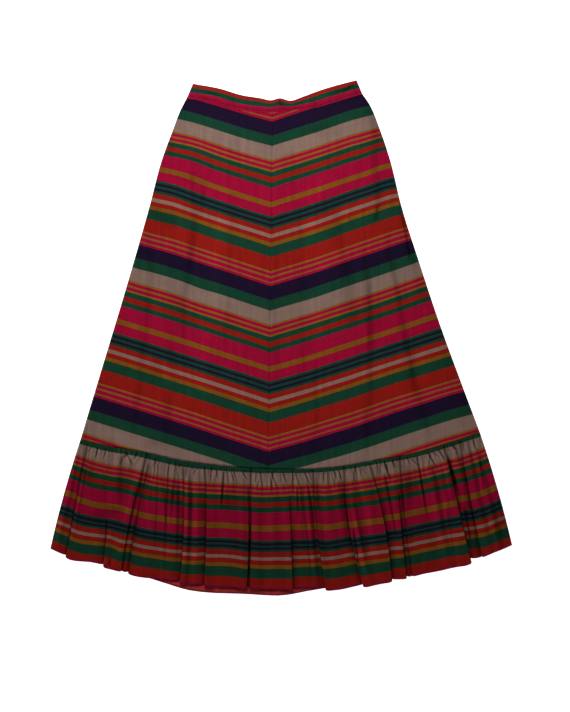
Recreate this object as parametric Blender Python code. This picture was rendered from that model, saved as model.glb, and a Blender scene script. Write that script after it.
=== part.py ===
"""A long flared skirt with a gathered ruffle at its hem, laid out flat with its front facing up.

The floor is the plane Z = 0, the waist points to +Y, and the wearer's right is at -X.
The back lies face down on the floor and the front lies on it.
Lengths are in millimetres until a mesh is made.
"""

import math
from collections import namedtuple

import bmesh
import bpy
import numpy as np

METRES = 0.001

# Wall thicknesses and the gap kept between two pieces
CLOTH = 1.0
BAND = 1.6
GAP = 0.3

# Heights of the middle of each wall above the floor
BACK_MID = CLOTH / 2
SIDE_MID = BACK_MID + CLOTH + GAP
BACK_BAND_MID = BAND / 2
FRONT_BAND_MID = BACK_BAND_MID + BAND + GAP

# How far the front stands off the back away from the side seams
PANEL_LOFT = 1.5
RUFFLE_LOFT = 2.1
EDGE_REACH = 12.0

# Outlines of the skirt as it lies, from the wearer's right to the left
Spot = namedtuple("Spot", "x y")
WAIST_EDGE = [
    Spot(-177, 506),
    Spot(-123, 496),
    Spot(-79, 483),
    Spot(-42, 477),
    Spot(-20, 473),
    Spot(-4, 477),
    Spot(17, 472),
    Spot(45, 481),
    Spot(84, 495),
    Spot(130, 508),
    Spot(150, 513),
]
WAIST_SEAM = [
    Spot(-189, 480),
    Spot(-137, 473),
    Spot(-96, 460),
    Spot(-45, 453),
    Spot(-18, 453),
    Spot(19, 457),
    Spot(76, 464),
    Spot(98, 471),
    Spot(139, 483),
    Spot(161, 489),
]
RUFFLE_SEAM = [
    Spot(-402, -204),
    Spot(-351, -216),
    Spot(-283, -227),
    Spot(-201, -245),
    Spot(-135, -254),
    Spot(-26, -262),
    Spot(103, -259),
    Spot(189, -245),
    Spot(263, -232),
    Spot(322, -215),
    Spot(397, -190),
]
FRONT_HEM = [
    Spot(-462, -421),
    Spot(-431, -437),
    Spot(-363, -454),
    Spot(-305, -471),
    Spot(-205, -488),
    Spot(-67, -499),
    Spot(21, -502),
    Spot(127, -500),
    Spot(221, -485),
    Spot(317, -463),
    Spot(399, -439),
    Spot(461, -414),
]
BACK_HEM = [
    Spot(-462, -421),
    Spot(-431, -434),
    Spot(-363, -451),
    Spot(-305, -468),
    Spot(-237, -489),
    Spot(-195, -502),
    Spot(-73, -512),
    Spot(9, -514),
    Spot(53, -506),
    Spot(127, -494),
    Spot(221, -480),
    Spot(317, -458),
    Spot(399, -434),
    Spot(461, -414),
]
RIGHT_SIDE = [
    Spot(-189, 480),
    Spot(-202, 455),
    Spot(-217, 416),
    Spot(-239, 356),
    Spot(-263, 266),
    Spot(-297, 146),
    Spot(-369, -94),
    Spot(-402, -204),
]
LEFT_SIDE = [
    Spot(161, 489),
    Spot(174, 470),
    Spot(197, 416),
    Spot(217, 356),
    Spot(239, 266),
    Spot(277, 146),
    Spot(317, 26),
    Spot(361, -94),
    Spot(397, -190),
]
FRONT_CENTRE = [Spot(-18, 453), Spot(-26, -262)]
BACK_CENTRE = [Spot(-4, 455), Spot(-13, -262)]

# The zip in the centre back seam: its top is just under the waist edge
ZIP_TOP = 470.0
ZIP_LENGTH = 220.0
ZIP_WIDTH = 22.0
COIL_WIDTH = 4.0
COIL_RISE = 0.8
SLIDER_LENGTH = 9.0
SLIDER_WIDTH = 5.6
SLIDER_HEIGHT = 2.2
SLIDER_ROUNDING = 0.5
PULL_LENGTH = 16.0
PULL_WIDTH = 3.2
PULL_HEIGHT = 1.0
PULL_ROUNDING = 0.3
PULL_ROOT = 1.0

# How the front bulges over the zip and its slider
ZIP_SWELL = 1.7
SLIDER_SWELL = 4.4
SWELL_REACH = 17.0
SLIDER_REACH = 25.0

# Long soft creases of the front panels: a trough has a negative rise
Crease = namedtuple("Crease", "top_x top_y bottom_x bottom_y rise reach")
CREASES = [
    Crease(-147, 330, -207, 2, -0.9, 17),
    Crease(-120, 250, -160, -120, 0.9, 22),
    Crease(-250, 130, -283, -90, -0.9, 17),
    Crease(-225, 60, -245, -170, 0.8, 18),
    Crease(60, 300, 78, -40, 0.7, 24),
    Crease(180, 400, 188, 230, -0.8, 16),
    Crease(166, 180, 176, -180, -0.9, 18),
    Crease(140, 120, 132, -150, 0.8, 22),
    Crease(222, 140, 238, -30, -0.8, 16),
    Crease(252, 230, 292, -60, 0.8, 16),
]

# Folds of the front ruffle. The fold line runs from the seam to the hem, bowed sideways at its middle.
# A lap is the cloth hidden under it, over is +1 where the side at +X lies on top, and a positive step
# sets the side at +X lower. It forms from start, a share of the ruffle's depth.
Fold = namedtuple("Fold", "seam hem bow lap rise over step start")
FRONT_FOLDS = [
    Fold(-387, -431, 0, 8, 4.0, 1, 8, 0.10),
    Fold(-268, -320, -5, 9, 5.5, -1, 0, 0.00),
    Fold(-260, -306, -3, 9, 5.0, 1, 4, 0.05),
    Fold(-198, -204, 6, 8, 4.6, 1, 5, 0.10),
    Fold(-154, -155, 4, 8, 4.8, 1, 5, 0.08),
    Fold(-68, -71, 3, 8, 5.5, -1, -2, 0.00),
    Fold(-62, -63, 1, 8, 5.5, 1, 3, 0.02),
    Fold(15, 23, 0, 5, 3.5, -1, -4, 0.30),
    Fold(63, 88, -4, 10, 5.5, 1, 6, 0.02),
    Fold(125, 163, -9, 10, 5.5, 1, 4, 0.02),
    Fold(175, 221, 7, 7, 4.5, -1, -5, 0.08),
    Fold(231, 250, -2, 5, 3.6, -1, -6, 0.35),
    Fold(236, 261, -2, 5, 3.6, 1, 0, 0.05),
    Fold(324, 379, 0, 14, 7.5, -1, -9, 0.00),
    Fold(356, 400, -1, 8, 6.0, 1, -1, 0.02),
]
FOLD_GROWTH = 0.35
LEAST_RISE = 3.4
LEAST_LAP = 3.5
FOLD_RELAX = 18.0
FOLD_TURN = 1.1
PANEL_PITCH = 8.0
SIDE_BOW = -3.0

# A fold's cross-section where the side at +X lies on top, in shares of its lap, its turn and its rise
Turn = namedtuple("Turn", "lap turn rise")
FOLD_TURNS = [
    Turn(1, -1, 0.0),
    Turn(1, 0, 0.25),
    Turn(1, -1, 0.5),
    Turn(0, 1, 0.5),
    Turn(0, 0, 0.75),
    Turn(0, 1, 1.0),
]

# Small gathers along the ruffle's seam: their height falls off down the ruffle
GATHER_COLUMNS = 4
Pucker = namedtuple("Pucker", "share rise")
PUCKERS = [
    Pucker(0.0, 0.6),
    Pucker(0.035, 0.8),
    Pucker(0.12, 0.7),
    Pucker(0.26, 0.3),
    Pucker(0.45, 0.0),
    Pucker(1.0, 0.0),
]
FRONT_ROWS = (0.0, 0.035, 0.12, 0.26, 0.45, 0.72, 1.0)
BACK_ROWS = (0.0, 0.035, 0.12, 0.3, 1.0)
BACK_COLUMNS = 181
BACK_FOLD_EVERY = 12
BACK_FOLD_RISE = 1.5

PANEL_COLUMNS = 17
PANEL_ROWS = 15
BAND_ROWS = 3


def clear_scene():
    for thing in list(bpy.data.objects):
        bpy.data.objects.remove(thing, do_unlink=True)


def cloth_material(name, colour, roughness=0.85, metallic=0.0):
    """One finish. The colour is linear red, green and blue."""
    material = bpy.data.materials.new(name)
    material.use_nodes = True
    shader = material.node_tree.nodes["Principled BSDF"]
    shader.inputs["Base Color"].default_value = (*colour, 1.0)
    shader.inputs["Roughness"].default_value = roughness
    shader.inputs["Metallic"].default_value = metallic
    material.diffuse_color = (*colour, 1.0)
    return material


def along(spots, shares):
    """Points at these shares of the length of a smooth curve through the spots."""
    spots = np.array(spots, float)
    runs = np.linalg.norm(np.diff(spots, axis=0), axis=1)
    knots = np.concatenate([[0.0], np.cumsum(runs)])
    slopes = np.gradient(spots, knots, axis=0)
    at = np.clip(np.asarray(shares, float), 0, 1) * knots[-1]
    span = np.clip(np.searchsorted(knots, at, side="right") - 1, 0, len(runs) - 1)
    width = runs[span][:, None]
    t = ((at - knots[span]) / runs[span])[:, None]
    start = (1 + 2 * t) * (1 - t) ** 2 * spots[span]
    leave = t * (1 - t) ** 2 * width * slopes[span]
    end = t**2 * (3 - 2 * t) * spots[span + 1]
    arrive = t**2 * (t - 1) * width * slopes[span + 1]
    return start + leave + end + arrive


def height_at(spots, x):
    """The y of the curve through the spots, at each x."""
    fine = along(spots, np.linspace(0, 1, 400))
    return np.interp(x, fine[:, 0], fine[:, 1])


def seam_line(spots, xs, shift):
    """The points of a seam curve at each x, moved along Y to keep the gap."""
    return np.column_stack([xs, height_at(spots, xs) + shift])


def ease(value):
    """A step from 0 to 1 with soft ends."""
    value = np.clip(value, 0, 1)
    return value * value * (3 - 2 * value)


def patch(top_line, bottom_line, left, right, rows):
    """A grid of points inside two rows of points that run to +X and two curves that run down."""
    down = np.linspace(0, 1, rows)
    left_line, right_line = along(left, down), along(right, down)
    u = np.linspace(0, 1, len(top_line))[None, :, None]
    v = down[:, None, None]
    ruled = (1 - v) * top_line[None] + v * bottom_line[None]
    swept = (1 - u) * left_line[:, None] + u * right_line[:, None]
    corners = (1 - v) * ((1 - u) * top_line[0] + u * top_line[-1])
    corners = corners + v * ((1 - u) * bottom_line[0] + u * bottom_line[-1])
    return ruled + swept - corners


def with_height(grid, height):
    """The grid of x and y points with a height for each."""
    return np.dstack([grid, np.broadcast_to(height, grid.shape[:2])])


def make_wall(name, grid, thickness, material):
    """A closed wall around the grid of middle points, facing up."""
    rows, columns = grid.shape[:2]
    shape = bmesh.new()
    corners = [[shape.verts.new(grid[r, c] * METRES) for c in range(columns)] for r in range(rows)]
    for r in range(rows - 1):
        for c in range(columns - 1):
            shape.faces.new((corners[r][c], corners[r + 1][c], corners[r + 1][c + 1], corners[r][c + 1]))
    bmesh.ops.triangulate(shape, faces=shape.faces[:], quad_method="FIXED")
    mesh = bpy.data.meshes.new(name)
    shape.to_mesh(mesh)
    shape.free()
    mesh.materials.append(material)
    piece = bpy.data.objects.new(name, mesh)
    bpy.context.scene.collection.objects.link(piece)
    solidify = piece.modifiers.new("wall", "SOLIDIFY")
    solidify.thickness = thickness * METRES
    solidify.offset = 0
    mesh.shade_smooth()
    return piece


def side_distance(grid):
    """How far each point of a grid of the front is from the nearer side seam, along its row."""
    seams = np.array(RIGHT_SIDE[::-1], float), np.array(LEFT_SIDE[::-1], float)
    right_x = np.interp(grid[..., 1], seams[0][:, 1], seams[0][:, 0])
    left_x = np.interp(grid[..., 1], seams[1][:, 1], seams[1][:, 0])
    return np.maximum(np.minimum(grid[..., 0] - right_x, left_x - grid[..., 0]), 0)


def zip_swell(x, y):
    """How far the front is lifted by the zip and its slider."""
    centre = np.interp(y, [BACK_CENTRE[1].y, BACK_CENTRE[0].y], [BACK_CENTRE[1].x, BACK_CENTRE[0].x])
    beside = np.exp(-(((x - centre) / SWELL_REACH) ** 2))
    length = ease((y - (ZIP_TOP - ZIP_LENGTH - SWELL_REACH)) / SWELL_REACH)
    slider = np.exp(-(((y - ZIP_TOP) / SLIDER_REACH) ** 2))
    return beside * (ZIP_SWELL * length + (SLIDER_SWELL - ZIP_SWELL) * slider)


def crease_height(x, y):
    """The sum of the long soft creases."""
    total = np.zeros_like(x)
    for crease in CREASES:
        share = (crease.top_y - y) / (crease.top_y - crease.bottom_y)
        middle = crease.top_x + (crease.bottom_x - crease.top_x) * np.clip(share, 0, 1)
        fade = ease(0.5 + 3 * share) * ease(0.5 + 3 * (1 - share))
        total += crease.rise * fade * np.exp(-(((x - middle) / crease.reach) ** 2))
    return total


def front_height(grid):
    """The middle of the front panels above the floor."""
    x, y = grid[..., 0], grid[..., 1]
    inside = 1 - np.exp(-side_distance(grid) / EDGE_REACH)
    to_ruffle = np.exp(-(y - height_at(RUFFLE_SEAM, x)) / (2 * EDGE_REACH))
    to_band = np.exp(-(height_at(WAIST_SEAM, x) - y) / EDGE_REACH)
    loft = PANEL_LOFT + (RUFFLE_LOFT - PANEL_LOFT) * to_ruffle
    creases = crease_height(x, y) * (1 - to_ruffle) * (1 - to_band)
    return SIDE_MID + inside * (loft + zip_swell(x, y) + creases) + (BAND - CLOTH) * to_band


def half_stations(side_x, centre_x, wearer_right):
    """The x of each column of a half panel along a seam, from -X to +X, clear of the centre seam."""
    inner = centre_x - GAP / 2 if wearer_right else centre_x + GAP / 2
    ends = (side_x, inner) if wearer_right else (inner, side_x)
    return np.linspace(*ends, PANEL_COLUMNS)


def panel_grid(centre, wearer_right):
    """One half of the skirt's body, from the waist seam to the ruffle seam, kept clear of its neighbours."""
    side = RIGHT_SIDE if wearer_right else LEFT_SIDE
    top_x = half_stations(side[0].x, centre[0].x, wearer_right)
    bottom_x = half_stations(side[-1].x, centre[1].x, wearer_right)
    top = seam_line(WAIST_SEAM, top_x, -GAP / 2)
    bottom = seam_line(RUFFLE_SEAM, bottom_x, GAP / 2)
    if wearer_right:
        return patch(top, bottom, side, (top[-1], bottom[-1]), PANEL_ROWS)
    return patch(top, bottom, (top[0], bottom[0]), side, PANEL_ROWS)


def make_panels(front, back):
    for wearer_right, word in ((True, "right"), (False, "left")):
        grid = panel_grid(FRONT_CENTRE, wearer_right)
        make_wall(f"front_{word}", with_height(grid, front_height(grid)), CLOTH, front)
        grid = panel_grid(BACK_CENTRE, wearer_right)
        make_wall(f"back_{word}", with_height(grid, BACK_MID), CLOTH, back)


def band_grid(bottom_x):
    """A stretch of the shaped waistband above these columns of the waist seam."""
    share = (bottom_x - WAIST_SEAM[0].x) / (WAIST_SEAM[-1].x - WAIST_SEAM[0].x)
    top_x = WAIST_EDGE[0].x + (WAIST_EDGE[-1].x - WAIST_EDGE[0].x) * share
    top = seam_line(WAIST_EDGE, top_x, 0)
    bottom = seam_line(WAIST_SEAM, bottom_x, GAP / 2)
    return patch(top, bottom, (top[0], bottom[0]), (top[-1], bottom[-1]), BAND_ROWS)


def make_waistbands(material):
    halves = [half_stations(RIGHT_SIDE[0].x, FRONT_CENTRE[0].x, True)]
    halves.append(half_stations(LEFT_SIDE[0].x, FRONT_CENTRE[0].x, False))
    grid = band_grid(np.concatenate(halves))
    height = FRONT_BAND_MID + zip_swell(grid[..., 0], grid[..., 1])
    make_wall("waistband_front", with_height(grid, height), BAND, material)
    for side, wearer_right, word in ((RIGHT_SIDE, True, "right"), (LEFT_SIDE, False, "left")):
        grid = band_grid(half_stations(side[0].x, BACK_CENTRE[0].x, wearer_right))
        make_wall(f"waistband_back_{word}", with_height(grid, BACK_BAND_MID), BAND, material)


def ruffle_sides(share):
    """The x of the two side seams at this share of the ruffle's depth."""
    bow = 4 * SIDE_BOW * share * (1 - share)
    right = RUFFLE_SEAM[0].x + (FRONT_HEM[0].x - RUFFLE_SEAM[0].x) * share + bow
    left = RUFFLE_SEAM[-1].x + (FRONT_HEM[-1].x - RUFFLE_SEAM[-1].x) * share - bow
    return right, left


def panel_counts(folds):
    """How many free columns lie between each fold and the next."""
    lines = [FRONT_HEM[0].x] + [fold.hem for fold in folds] + [FRONT_HEM[-1].x]
    counts = []
    for i in range(len(lines) - 1):
        hidden = 0.0
        if i > 0 and folds[i - 1].over < 0:
            hidden += folds[i - 1].lap
        if i < len(folds) and folds[i].over > 0:
            hidden += folds[i].lap
        counts.append(max(2, round((lines[i + 1] - lines[i] + hidden) / PANEL_PITCH)))
    return counts


def fold_size(fold, share):
    """The lap and the rise of a fold at this share of the ruffle's depth."""
    grown = ease((share - fold.start) / FOLD_GROWTH)
    rise = LEAST_RISE + (fold.rise - LEAST_RISE) * grown
    lap = LEAST_LAP + (fold.lap - LEAST_LAP) * grown * (0.4 + 0.6 * share)
    return lap, rise


def fold_section(fold, share):
    """Sideways offsets and heights of a fold's own columns: out under the lap, back and out again."""
    lap, rise = fold_size(fold, share)
    x = np.array([lap * turn.lap + FOLD_TURN * turn.turn for turn in FOLD_TURNS])
    z = np.array([rise * turn.rise for turn in FOLD_TURNS])
    if fold.over < 0:
        x, z = -x[::-1], z[::-1]
    return x, z


def lifted(rise, distance, lap):
    """How high the cloth still lies at this distance from a fold: level over the lap, then sinking."""
    return rise * math.exp(-max(distance - lap, 0) / FOLD_RELAX)


def fold_line(fold, share):
    """The x of a fold's line at this share of the ruffle's depth."""
    return fold.seam + (fold.hem - fold.seam) * share + 4 * fold.bow * share * (1 - share)


def front_ruffle_row(share):
    """One row of the front ruffle: each column's x, rise, drop, and 1 where gathers show."""
    right, left = ruffle_sides(share)
    columns = [[right, 0.0, 0.0, 1.0]]
    start_lap = 0.0
    for number, count in enumerate(panel_counts(FRONT_FOLDS)):
        start_x, start_rise, start_drop = columns[-1][:3]
        if number < len(FRONT_FOLDS):
            fold = FRONT_FOLDS[number]
            end_lap = fold_size(fold, share)[0]
            offsets, fold_z = fold_section(fold, share)
            fold_x = fold_line(fold, share) + offsets
            fold_drop = np.linspace(fold.step / 2, -fold.step / 2, len(FOLD_TURNS))
        else:
            end_lap, fold_x, fold_z, fold_drop = 0.0, [left], [0.0], [0.0]
        for column in range(1, count + 1):
            part = column / (count + 1)
            x = start_x + (fold_x[0] - start_x) * part
            rise = lifted(start_rise, x - start_x, start_lap) + lifted(fold_z[0], fold_x[0] - x, end_lap)
            columns.append([x, rise, start_drop + (fold_drop[0] - start_drop) * part, 1.0])
        columns.extend([x, rise, drop, 0.0] for x, rise, drop in zip(fold_x, fold_z, fold_drop))
        start_lap = end_lap
    return np.array(columns).T


def side_fade(x, share):
    """0 at the side seams, and 1 away from them."""
    right, left = ruffle_sides(share)
    return 1 - np.exp(-np.minimum(x - right, left - x) / EDGE_REACH)


def gather(column, share):
    """The height of the small gathers at each column."""
    rise = np.interp(share, [p.share for p in PUCKERS], [p.rise for p in PUCKERS])
    uneven = 0.72 + 0.28 * np.sin(1.7 * column) * np.cos(0.31 * column)
    return rise * uneven * np.sin(2 * math.pi * column / GATHER_COLUMNS)


def make_front_ruffle(material):
    rows = [front_ruffle_row(share) for share in FRONT_ROWS]
    seam_x, hem_x = rows[0][0], rows[-1][0]
    seam_y = height_at(RUFFLE_SEAM, seam_x) - GAP / 2
    hem_y = height_at(FRONT_HEM, hem_x)
    column = np.arange(len(seam_x))
    grid = np.zeros((len(rows), len(column), 3))
    for r, (share, (x, rise, drop, free)) in enumerate(zip(FRONT_ROWS, rows)):
        inside = side_fade(x, share)
        grid[r, :, 0] = x
        grid[r, :, 1] = seam_y + (hem_y - seam_y) * share + drop * share
        grid[r, :, 2] = SIDE_MID + inside * (RUFFLE_LOFT + gather(column, share) * free) + rise
    make_wall("ruffle_front", grid, CLOTH, material)


def make_back_ruffle(material):
    """The back of the ruffle rests on the floor: its gathers and folds only rise from it."""
    column = np.arange(BACK_COLUMNS)
    across = column / (BACK_COLUMNS - 1)
    fold_at = BACK_FOLD_EVERY * (0.5 + np.round(column / BACK_FOLD_EVERY - 0.5))
    fold_at = fold_at + np.round(2 * np.sin(1.9 * fold_at))
    near = np.abs(column - fold_at)
    ridge = np.where(near < 0.5, 1.0, np.where(near < 1.5, 0.45, 0.0)) * (0.8 + 0.2 * np.cos(fold_at))
    grid = np.zeros((len(BACK_ROWS), BACK_COLUMNS, 3))
    seam_x = RUFFLE_SEAM[0].x + (RUFFLE_SEAM[-1].x - RUFFLE_SEAM[0].x) * across
    hem_x = BACK_HEM[0].x + (BACK_HEM[-1].x - BACK_HEM[0].x) * across
    seam_y = height_at(RUFFLE_SEAM, seam_x) - GAP / 2
    hem_y = height_at(BACK_HEM, hem_x)
    for r, share in enumerate(BACK_ROWS):
        right, left = ruffle_sides(share)
        x = right + (left - right) * across
        gathers = np.maximum(gather(column, share), 0)
        folds = BACK_FOLD_RISE * ridge * ease((share - 0.1) / 0.4)
        grid[r, :, 0] = x
        grid[r, :, 1] = seam_y + (hem_y - seam_y) * share
        grid[r, :, 2] = BACK_MID + side_fade(x, share) ** 3 * np.maximum(gathers, folds)
    make_wall("ruffle_back", grid, CLOTH, material)


def make_block(name, low_y, high_y, width, low_z, high_z, material, round_edges=0.0):
    """A block along the centre back seam, turned to follow it."""
    shape = bmesh.new()
    bmesh.ops.create_cube(shape, size=1.0)
    size = (width, high_y - low_y, high_z - low_z)
    bmesh.ops.scale(shape, vec=[side * METRES for side in size], verts=shape.verts)
    centre = (0, (low_y + high_y) / 2, (low_z + high_z) / 2)
    bmesh.ops.translate(shape, vec=[place * METRES for place in centre], verts=shape.verts)
    if round_edges:
        bmesh.ops.bevel(shape, geom=shape.edges[:], offset=round_edges * METRES, segments=2, affect="EDGES")
    lean = (BACK_CENTRE[0].x - BACK_CENTRE[1].x) / (BACK_CENTRE[0].y - BACK_CENTRE[1].y)
    for vertex in shape.verts:
        vertex.co.x += BACK_CENTRE[0].x * METRES + (vertex.co.y - BACK_CENTRE[0].y * METRES) * lean
    mesh = bpy.data.meshes.new(name)
    shape.to_mesh(mesh)
    shape.free()
    mesh.materials.append(material)
    piece = bpy.data.objects.new(name, mesh)
    bpy.context.scene.collection.objects.link(piece)
    return piece


def join_helper(piece, helper):
    """Adds a helper's shape to a piece, as one body."""
    helper.hide_render = True
    helper.display_type = "WIRE"
    union = piece.modifiers.new("join", "BOOLEAN")
    union.operation = "UNION"
    union.object = helper


def make_zip(tape_material, metal):
    """The closed zip lies inside the back: tapes sewn to the seam, the coil raised along their middle."""
    tape_low = BAND + GAP
    tape_high = tape_low + CLOTH
    zip_low = ZIP_TOP - ZIP_LENGTH
    coil_end = ZIP_TOP - SLIDER_LENGTH - PULL_LENGTH
    tape = make_block("back_zip", zip_low, ZIP_TOP, ZIP_WIDTH, tape_low, tape_high, tape_material)
    coil_start = zip_low + SLIDER_LENGTH
    low = (tape_low + tape_high) / 2
    high = tape_high + COIL_RISE
    coil = make_block("coil", coil_start, coil_end, COIL_WIDTH, low, high, tape_material)
    join_helper(tape, coil)

    low = tape_high + GAP
    start = coil_end + GAP
    end = start + SLIDER_LENGTH
    high = low + SLIDER_HEIGHT
    slider = make_block("back_zip_slider", start, end, SLIDER_WIDTH, low, high, metal, SLIDER_ROUNDING)
    low += PULL_HEIGHT / 2
    high = low + PULL_HEIGHT
    pull_end = ZIP_TOP - SLIDER_WIDTH / 2
    pull = make_block("pull", end - PULL_ROOT, pull_end, PULL_WIDTH, low, high, metal, PULL_ROUNDING)
    join_helper(slider, pull)


def main():
    clear_scene()
    front = cloth_material("striped cotton, front", (0.25, 0.025, 0.02))
    back = cloth_material("striped cotton, back", (0.02, 0.06, 0.04))
    ruffle = cloth_material("striped cotton, ruffle", (0.20, 0.006, 0.03))
    band = cloth_material("striped cotton, waistband", (0.02, 0.08, 0.05))
    tape = cloth_material("zip tape", (0.05, 0.04, 0.04))
    metal = cloth_material("lacquered brass", (0.25, 0.12, 0.06), 0.4, 1.0)
    make_panels(front, back)
    make_waistbands(band)
    make_front_ruffle(ruffle)
    make_back_ruffle(ruffle)
    make_zip(tape, metal)


main()
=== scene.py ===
"""The looks of a striped maxi skirt with a gathered ruffle, laid out flat with its front facing up.

The floor is Z = 0, the waist points to +Y and the wearer's right is at -X.
Sizes are in millimetres until a mesh is made.
"""

import math
from collections import namedtuple

import bpy
import numpy as np
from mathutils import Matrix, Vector


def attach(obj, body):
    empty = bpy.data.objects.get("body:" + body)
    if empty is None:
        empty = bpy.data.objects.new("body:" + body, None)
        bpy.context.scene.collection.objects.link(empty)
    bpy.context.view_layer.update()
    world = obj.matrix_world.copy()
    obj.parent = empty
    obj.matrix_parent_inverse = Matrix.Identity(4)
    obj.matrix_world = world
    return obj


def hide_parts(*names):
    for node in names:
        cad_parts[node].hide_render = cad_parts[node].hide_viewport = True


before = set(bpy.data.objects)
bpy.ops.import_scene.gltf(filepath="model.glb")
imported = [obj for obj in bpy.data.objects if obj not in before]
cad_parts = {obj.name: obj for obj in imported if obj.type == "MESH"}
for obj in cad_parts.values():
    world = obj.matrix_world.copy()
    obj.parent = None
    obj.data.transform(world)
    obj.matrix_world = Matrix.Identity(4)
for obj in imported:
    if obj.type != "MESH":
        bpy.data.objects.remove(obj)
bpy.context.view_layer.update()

METRES = 0.001

# Camera: straight above, as far off as a studio copy stand, framing 570 x 712 at 2 mm to a pixel
IMAGE_SIZE = (570, 712)
MM_PER_PIXEL = 2.0
VIEW_CENTRE = (7.0, -36.0)
CAMERA_HEIGHT = 3000.0
SENSOR = 36.0

# Cloth thicknesses, and the CAD's heights of the middle of each wall above the floor
CLOTH = 0.5
BAND = 1.3
CAD_CLOTH = 1.0
CAD_BAND = 1.6
GAP = 0.3
CAD_BACK_MID = CAD_CLOTH / 2
SIDE_MID = CAD_BACK_MID + CAD_CLOTH + GAP
FRONT_BAND_MID = CAD_BAND / 2 + CAD_BAND + GAP
BACK_MID = CLOTH / 2
BACK_BAND_MID = BAND / 2

# How far the front stands off the back away from the side seams
PANEL_LOFT = 1.5
RUFFLE_LOFT = 2.1
EDGE_REACH = 12.0

# Outlines of the skirt as it lies, from the wearer's right to the left
Spot = namedtuple("Spot", "x y")
WAIST_EDGE = [
    Spot(-177, 506),
    Spot(-123, 496),
    Spot(-79, 483),
    Spot(-42, 477),
    Spot(-20, 473),
    Spot(-4, 477),
    Spot(17, 472),
    Spot(45, 481),
    Spot(84, 495),
    Spot(130, 508),
    Spot(150, 513),
]
WAIST_SEAM = [
    Spot(-190, 478),
    Spot(-137, 470.5),
    Spot(-96, 457.5),
    Spot(-45, 450.5),
    Spot(-18, 450.5),
    Spot(19, 454.5),
    Spot(76, 461.5),
    Spot(98, 468),
    Spot(139, 480.5),
    Spot(162, 487),
]
RUFFLE_SEAM = [
    Spot(-402, -204),
    Spot(-351, -216),
    Spot(-283, -227),
    Spot(-201, -245),
    Spot(-135, -254),
    Spot(-26, -262),
    Spot(103, -259),
    Spot(189, -245),
    Spot(263, -232),
    Spot(322, -215),
    Spot(397, -190),
]
FRONT_HEM = [
    Spot(-462, -421),
    Spot(-431, -437),
    Spot(-363, -454),
    Spot(-305, -471),
    Spot(-205, -488),
    Spot(-67, -499),
    Spot(21, -502),
    Spot(127, -500),
    Spot(221, -485),
    Spot(317, -463),
    Spot(399, -439),
    Spot(461, -414),
]
BACK_HEM = [
    Spot(-462, -421),
    Spot(-431, -434),
    Spot(-363, -451),
    Spot(-305, -468),
    Spot(-237, -489),
    Spot(-195, -502),
    Spot(-73, -512),
    Spot(9, -514),
    Spot(53, -506),
    Spot(127, -494),
    Spot(221, -480),
    Spot(317, -458),
    Spot(399, -434),
    Spot(461, -414),
]
RIGHT_SIDE = [
    Spot(-190, 478),
    Spot(-202, 455),
    Spot(-217, 416),
    Spot(-239, 356),
    Spot(-263, 266),
    Spot(-297, 146),
    Spot(-369, -94),
    Spot(-402, -204),
]
LEFT_SIDE = [
    Spot(162, 487),
    Spot(174, 470),
    Spot(197, 416),
    Spot(217, 356),
    Spot(239, 266),
    Spot(277, 146),
    Spot(317, 26),
    Spot(361, -94),
    Spot(397, -190),
]
FRONT_CENTRE = [Spot(-18, 451), Spot(-26, -262)]
BACK_CENTRE = [Spot(-4, 453), Spot(-13, -262)]

# The zip in the centre back seam
ZIP_TOP = 470.0
ZIP_LENGTH = 220.0
ZIP_WIDTH = 22.0
ZIP_FLOOR = CAD_BAND + GAP
TOOTH_PITCH = 1.4
SLIDER_LENGTH = 9.0
PULL_LENGTH = 16.0
ZIP_SWELL = 1.7
SLIDER_SWELL = 4.4
SWELL_REACH = 17.0
SLIDER_REACH = 25.0

# Long soft creases of the front panels: a trough has a negative rise. Troughs get painted shade, and ridges
# painted light.
PanelCrease = namedtuple("PanelCrease", "top_x top_y bottom_x bottom_y rise reach")
PANEL_CREASES = [
    PanelCrease(-147, 336, -189, 116, -0.7, 8),
    PanelCrease(-181, 160, -203, -20, -0.9, 7),
    PanelCrease(238, 246, 258, 162, -2.8, 2.8),
    PanelCrease(191, 262, 188, 234, -2.2, 2.6),
    PanelCrease(-173, 346, -183, 146, -0.8, 7),
    PanelCrease(-223, 176, -215, -114, -0.6, 8),
    PanelCrease(-259, 196, -279, -74, -0.9, 8),
    PanelCrease(-120, 250, -160, -120, 0.6, 18),
    PanelCrease(177, 462, 197, 236, -1.1, 8),
    PanelCrease(215, 190, 266, -110, -1.5, 7),
    PanelCrease(257, 176, 287, 66, -0.7, 7),
    PanelCrease(167, 176, 181, -34, -0.9, 7),
    PanelCrease(127, 146, 147, 26, -1.0, 14),
    PanelCrease(111, 256, 127, 126, -0.7, 8),
    PanelCrease(261, -64, 297, -204, -0.8, 8),
    PanelCrease(-224, -118, -232, -224, -0.8, 8),
    PanelCrease(37, 276, 43, -124, -0.4, 10),
    PanelCrease(-93, 376, -107, 16, -0.35, 10),
    PanelCrease(60, 420, 78, -40, 0.5, 24),
    PanelCrease(180, 136, 175, -225, -1.1, 7),
    PanelCrease(66, -60, 71, -235, -0.6, 6),
    PanelCrease(-285, -90, -297, -200, -0.7, 8),
    PanelCrease(-11, 200, -13, 40, -0.5, 4),
    PanelCrease(-10, 70, -6, -90, -0.6, 8),
]
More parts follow.
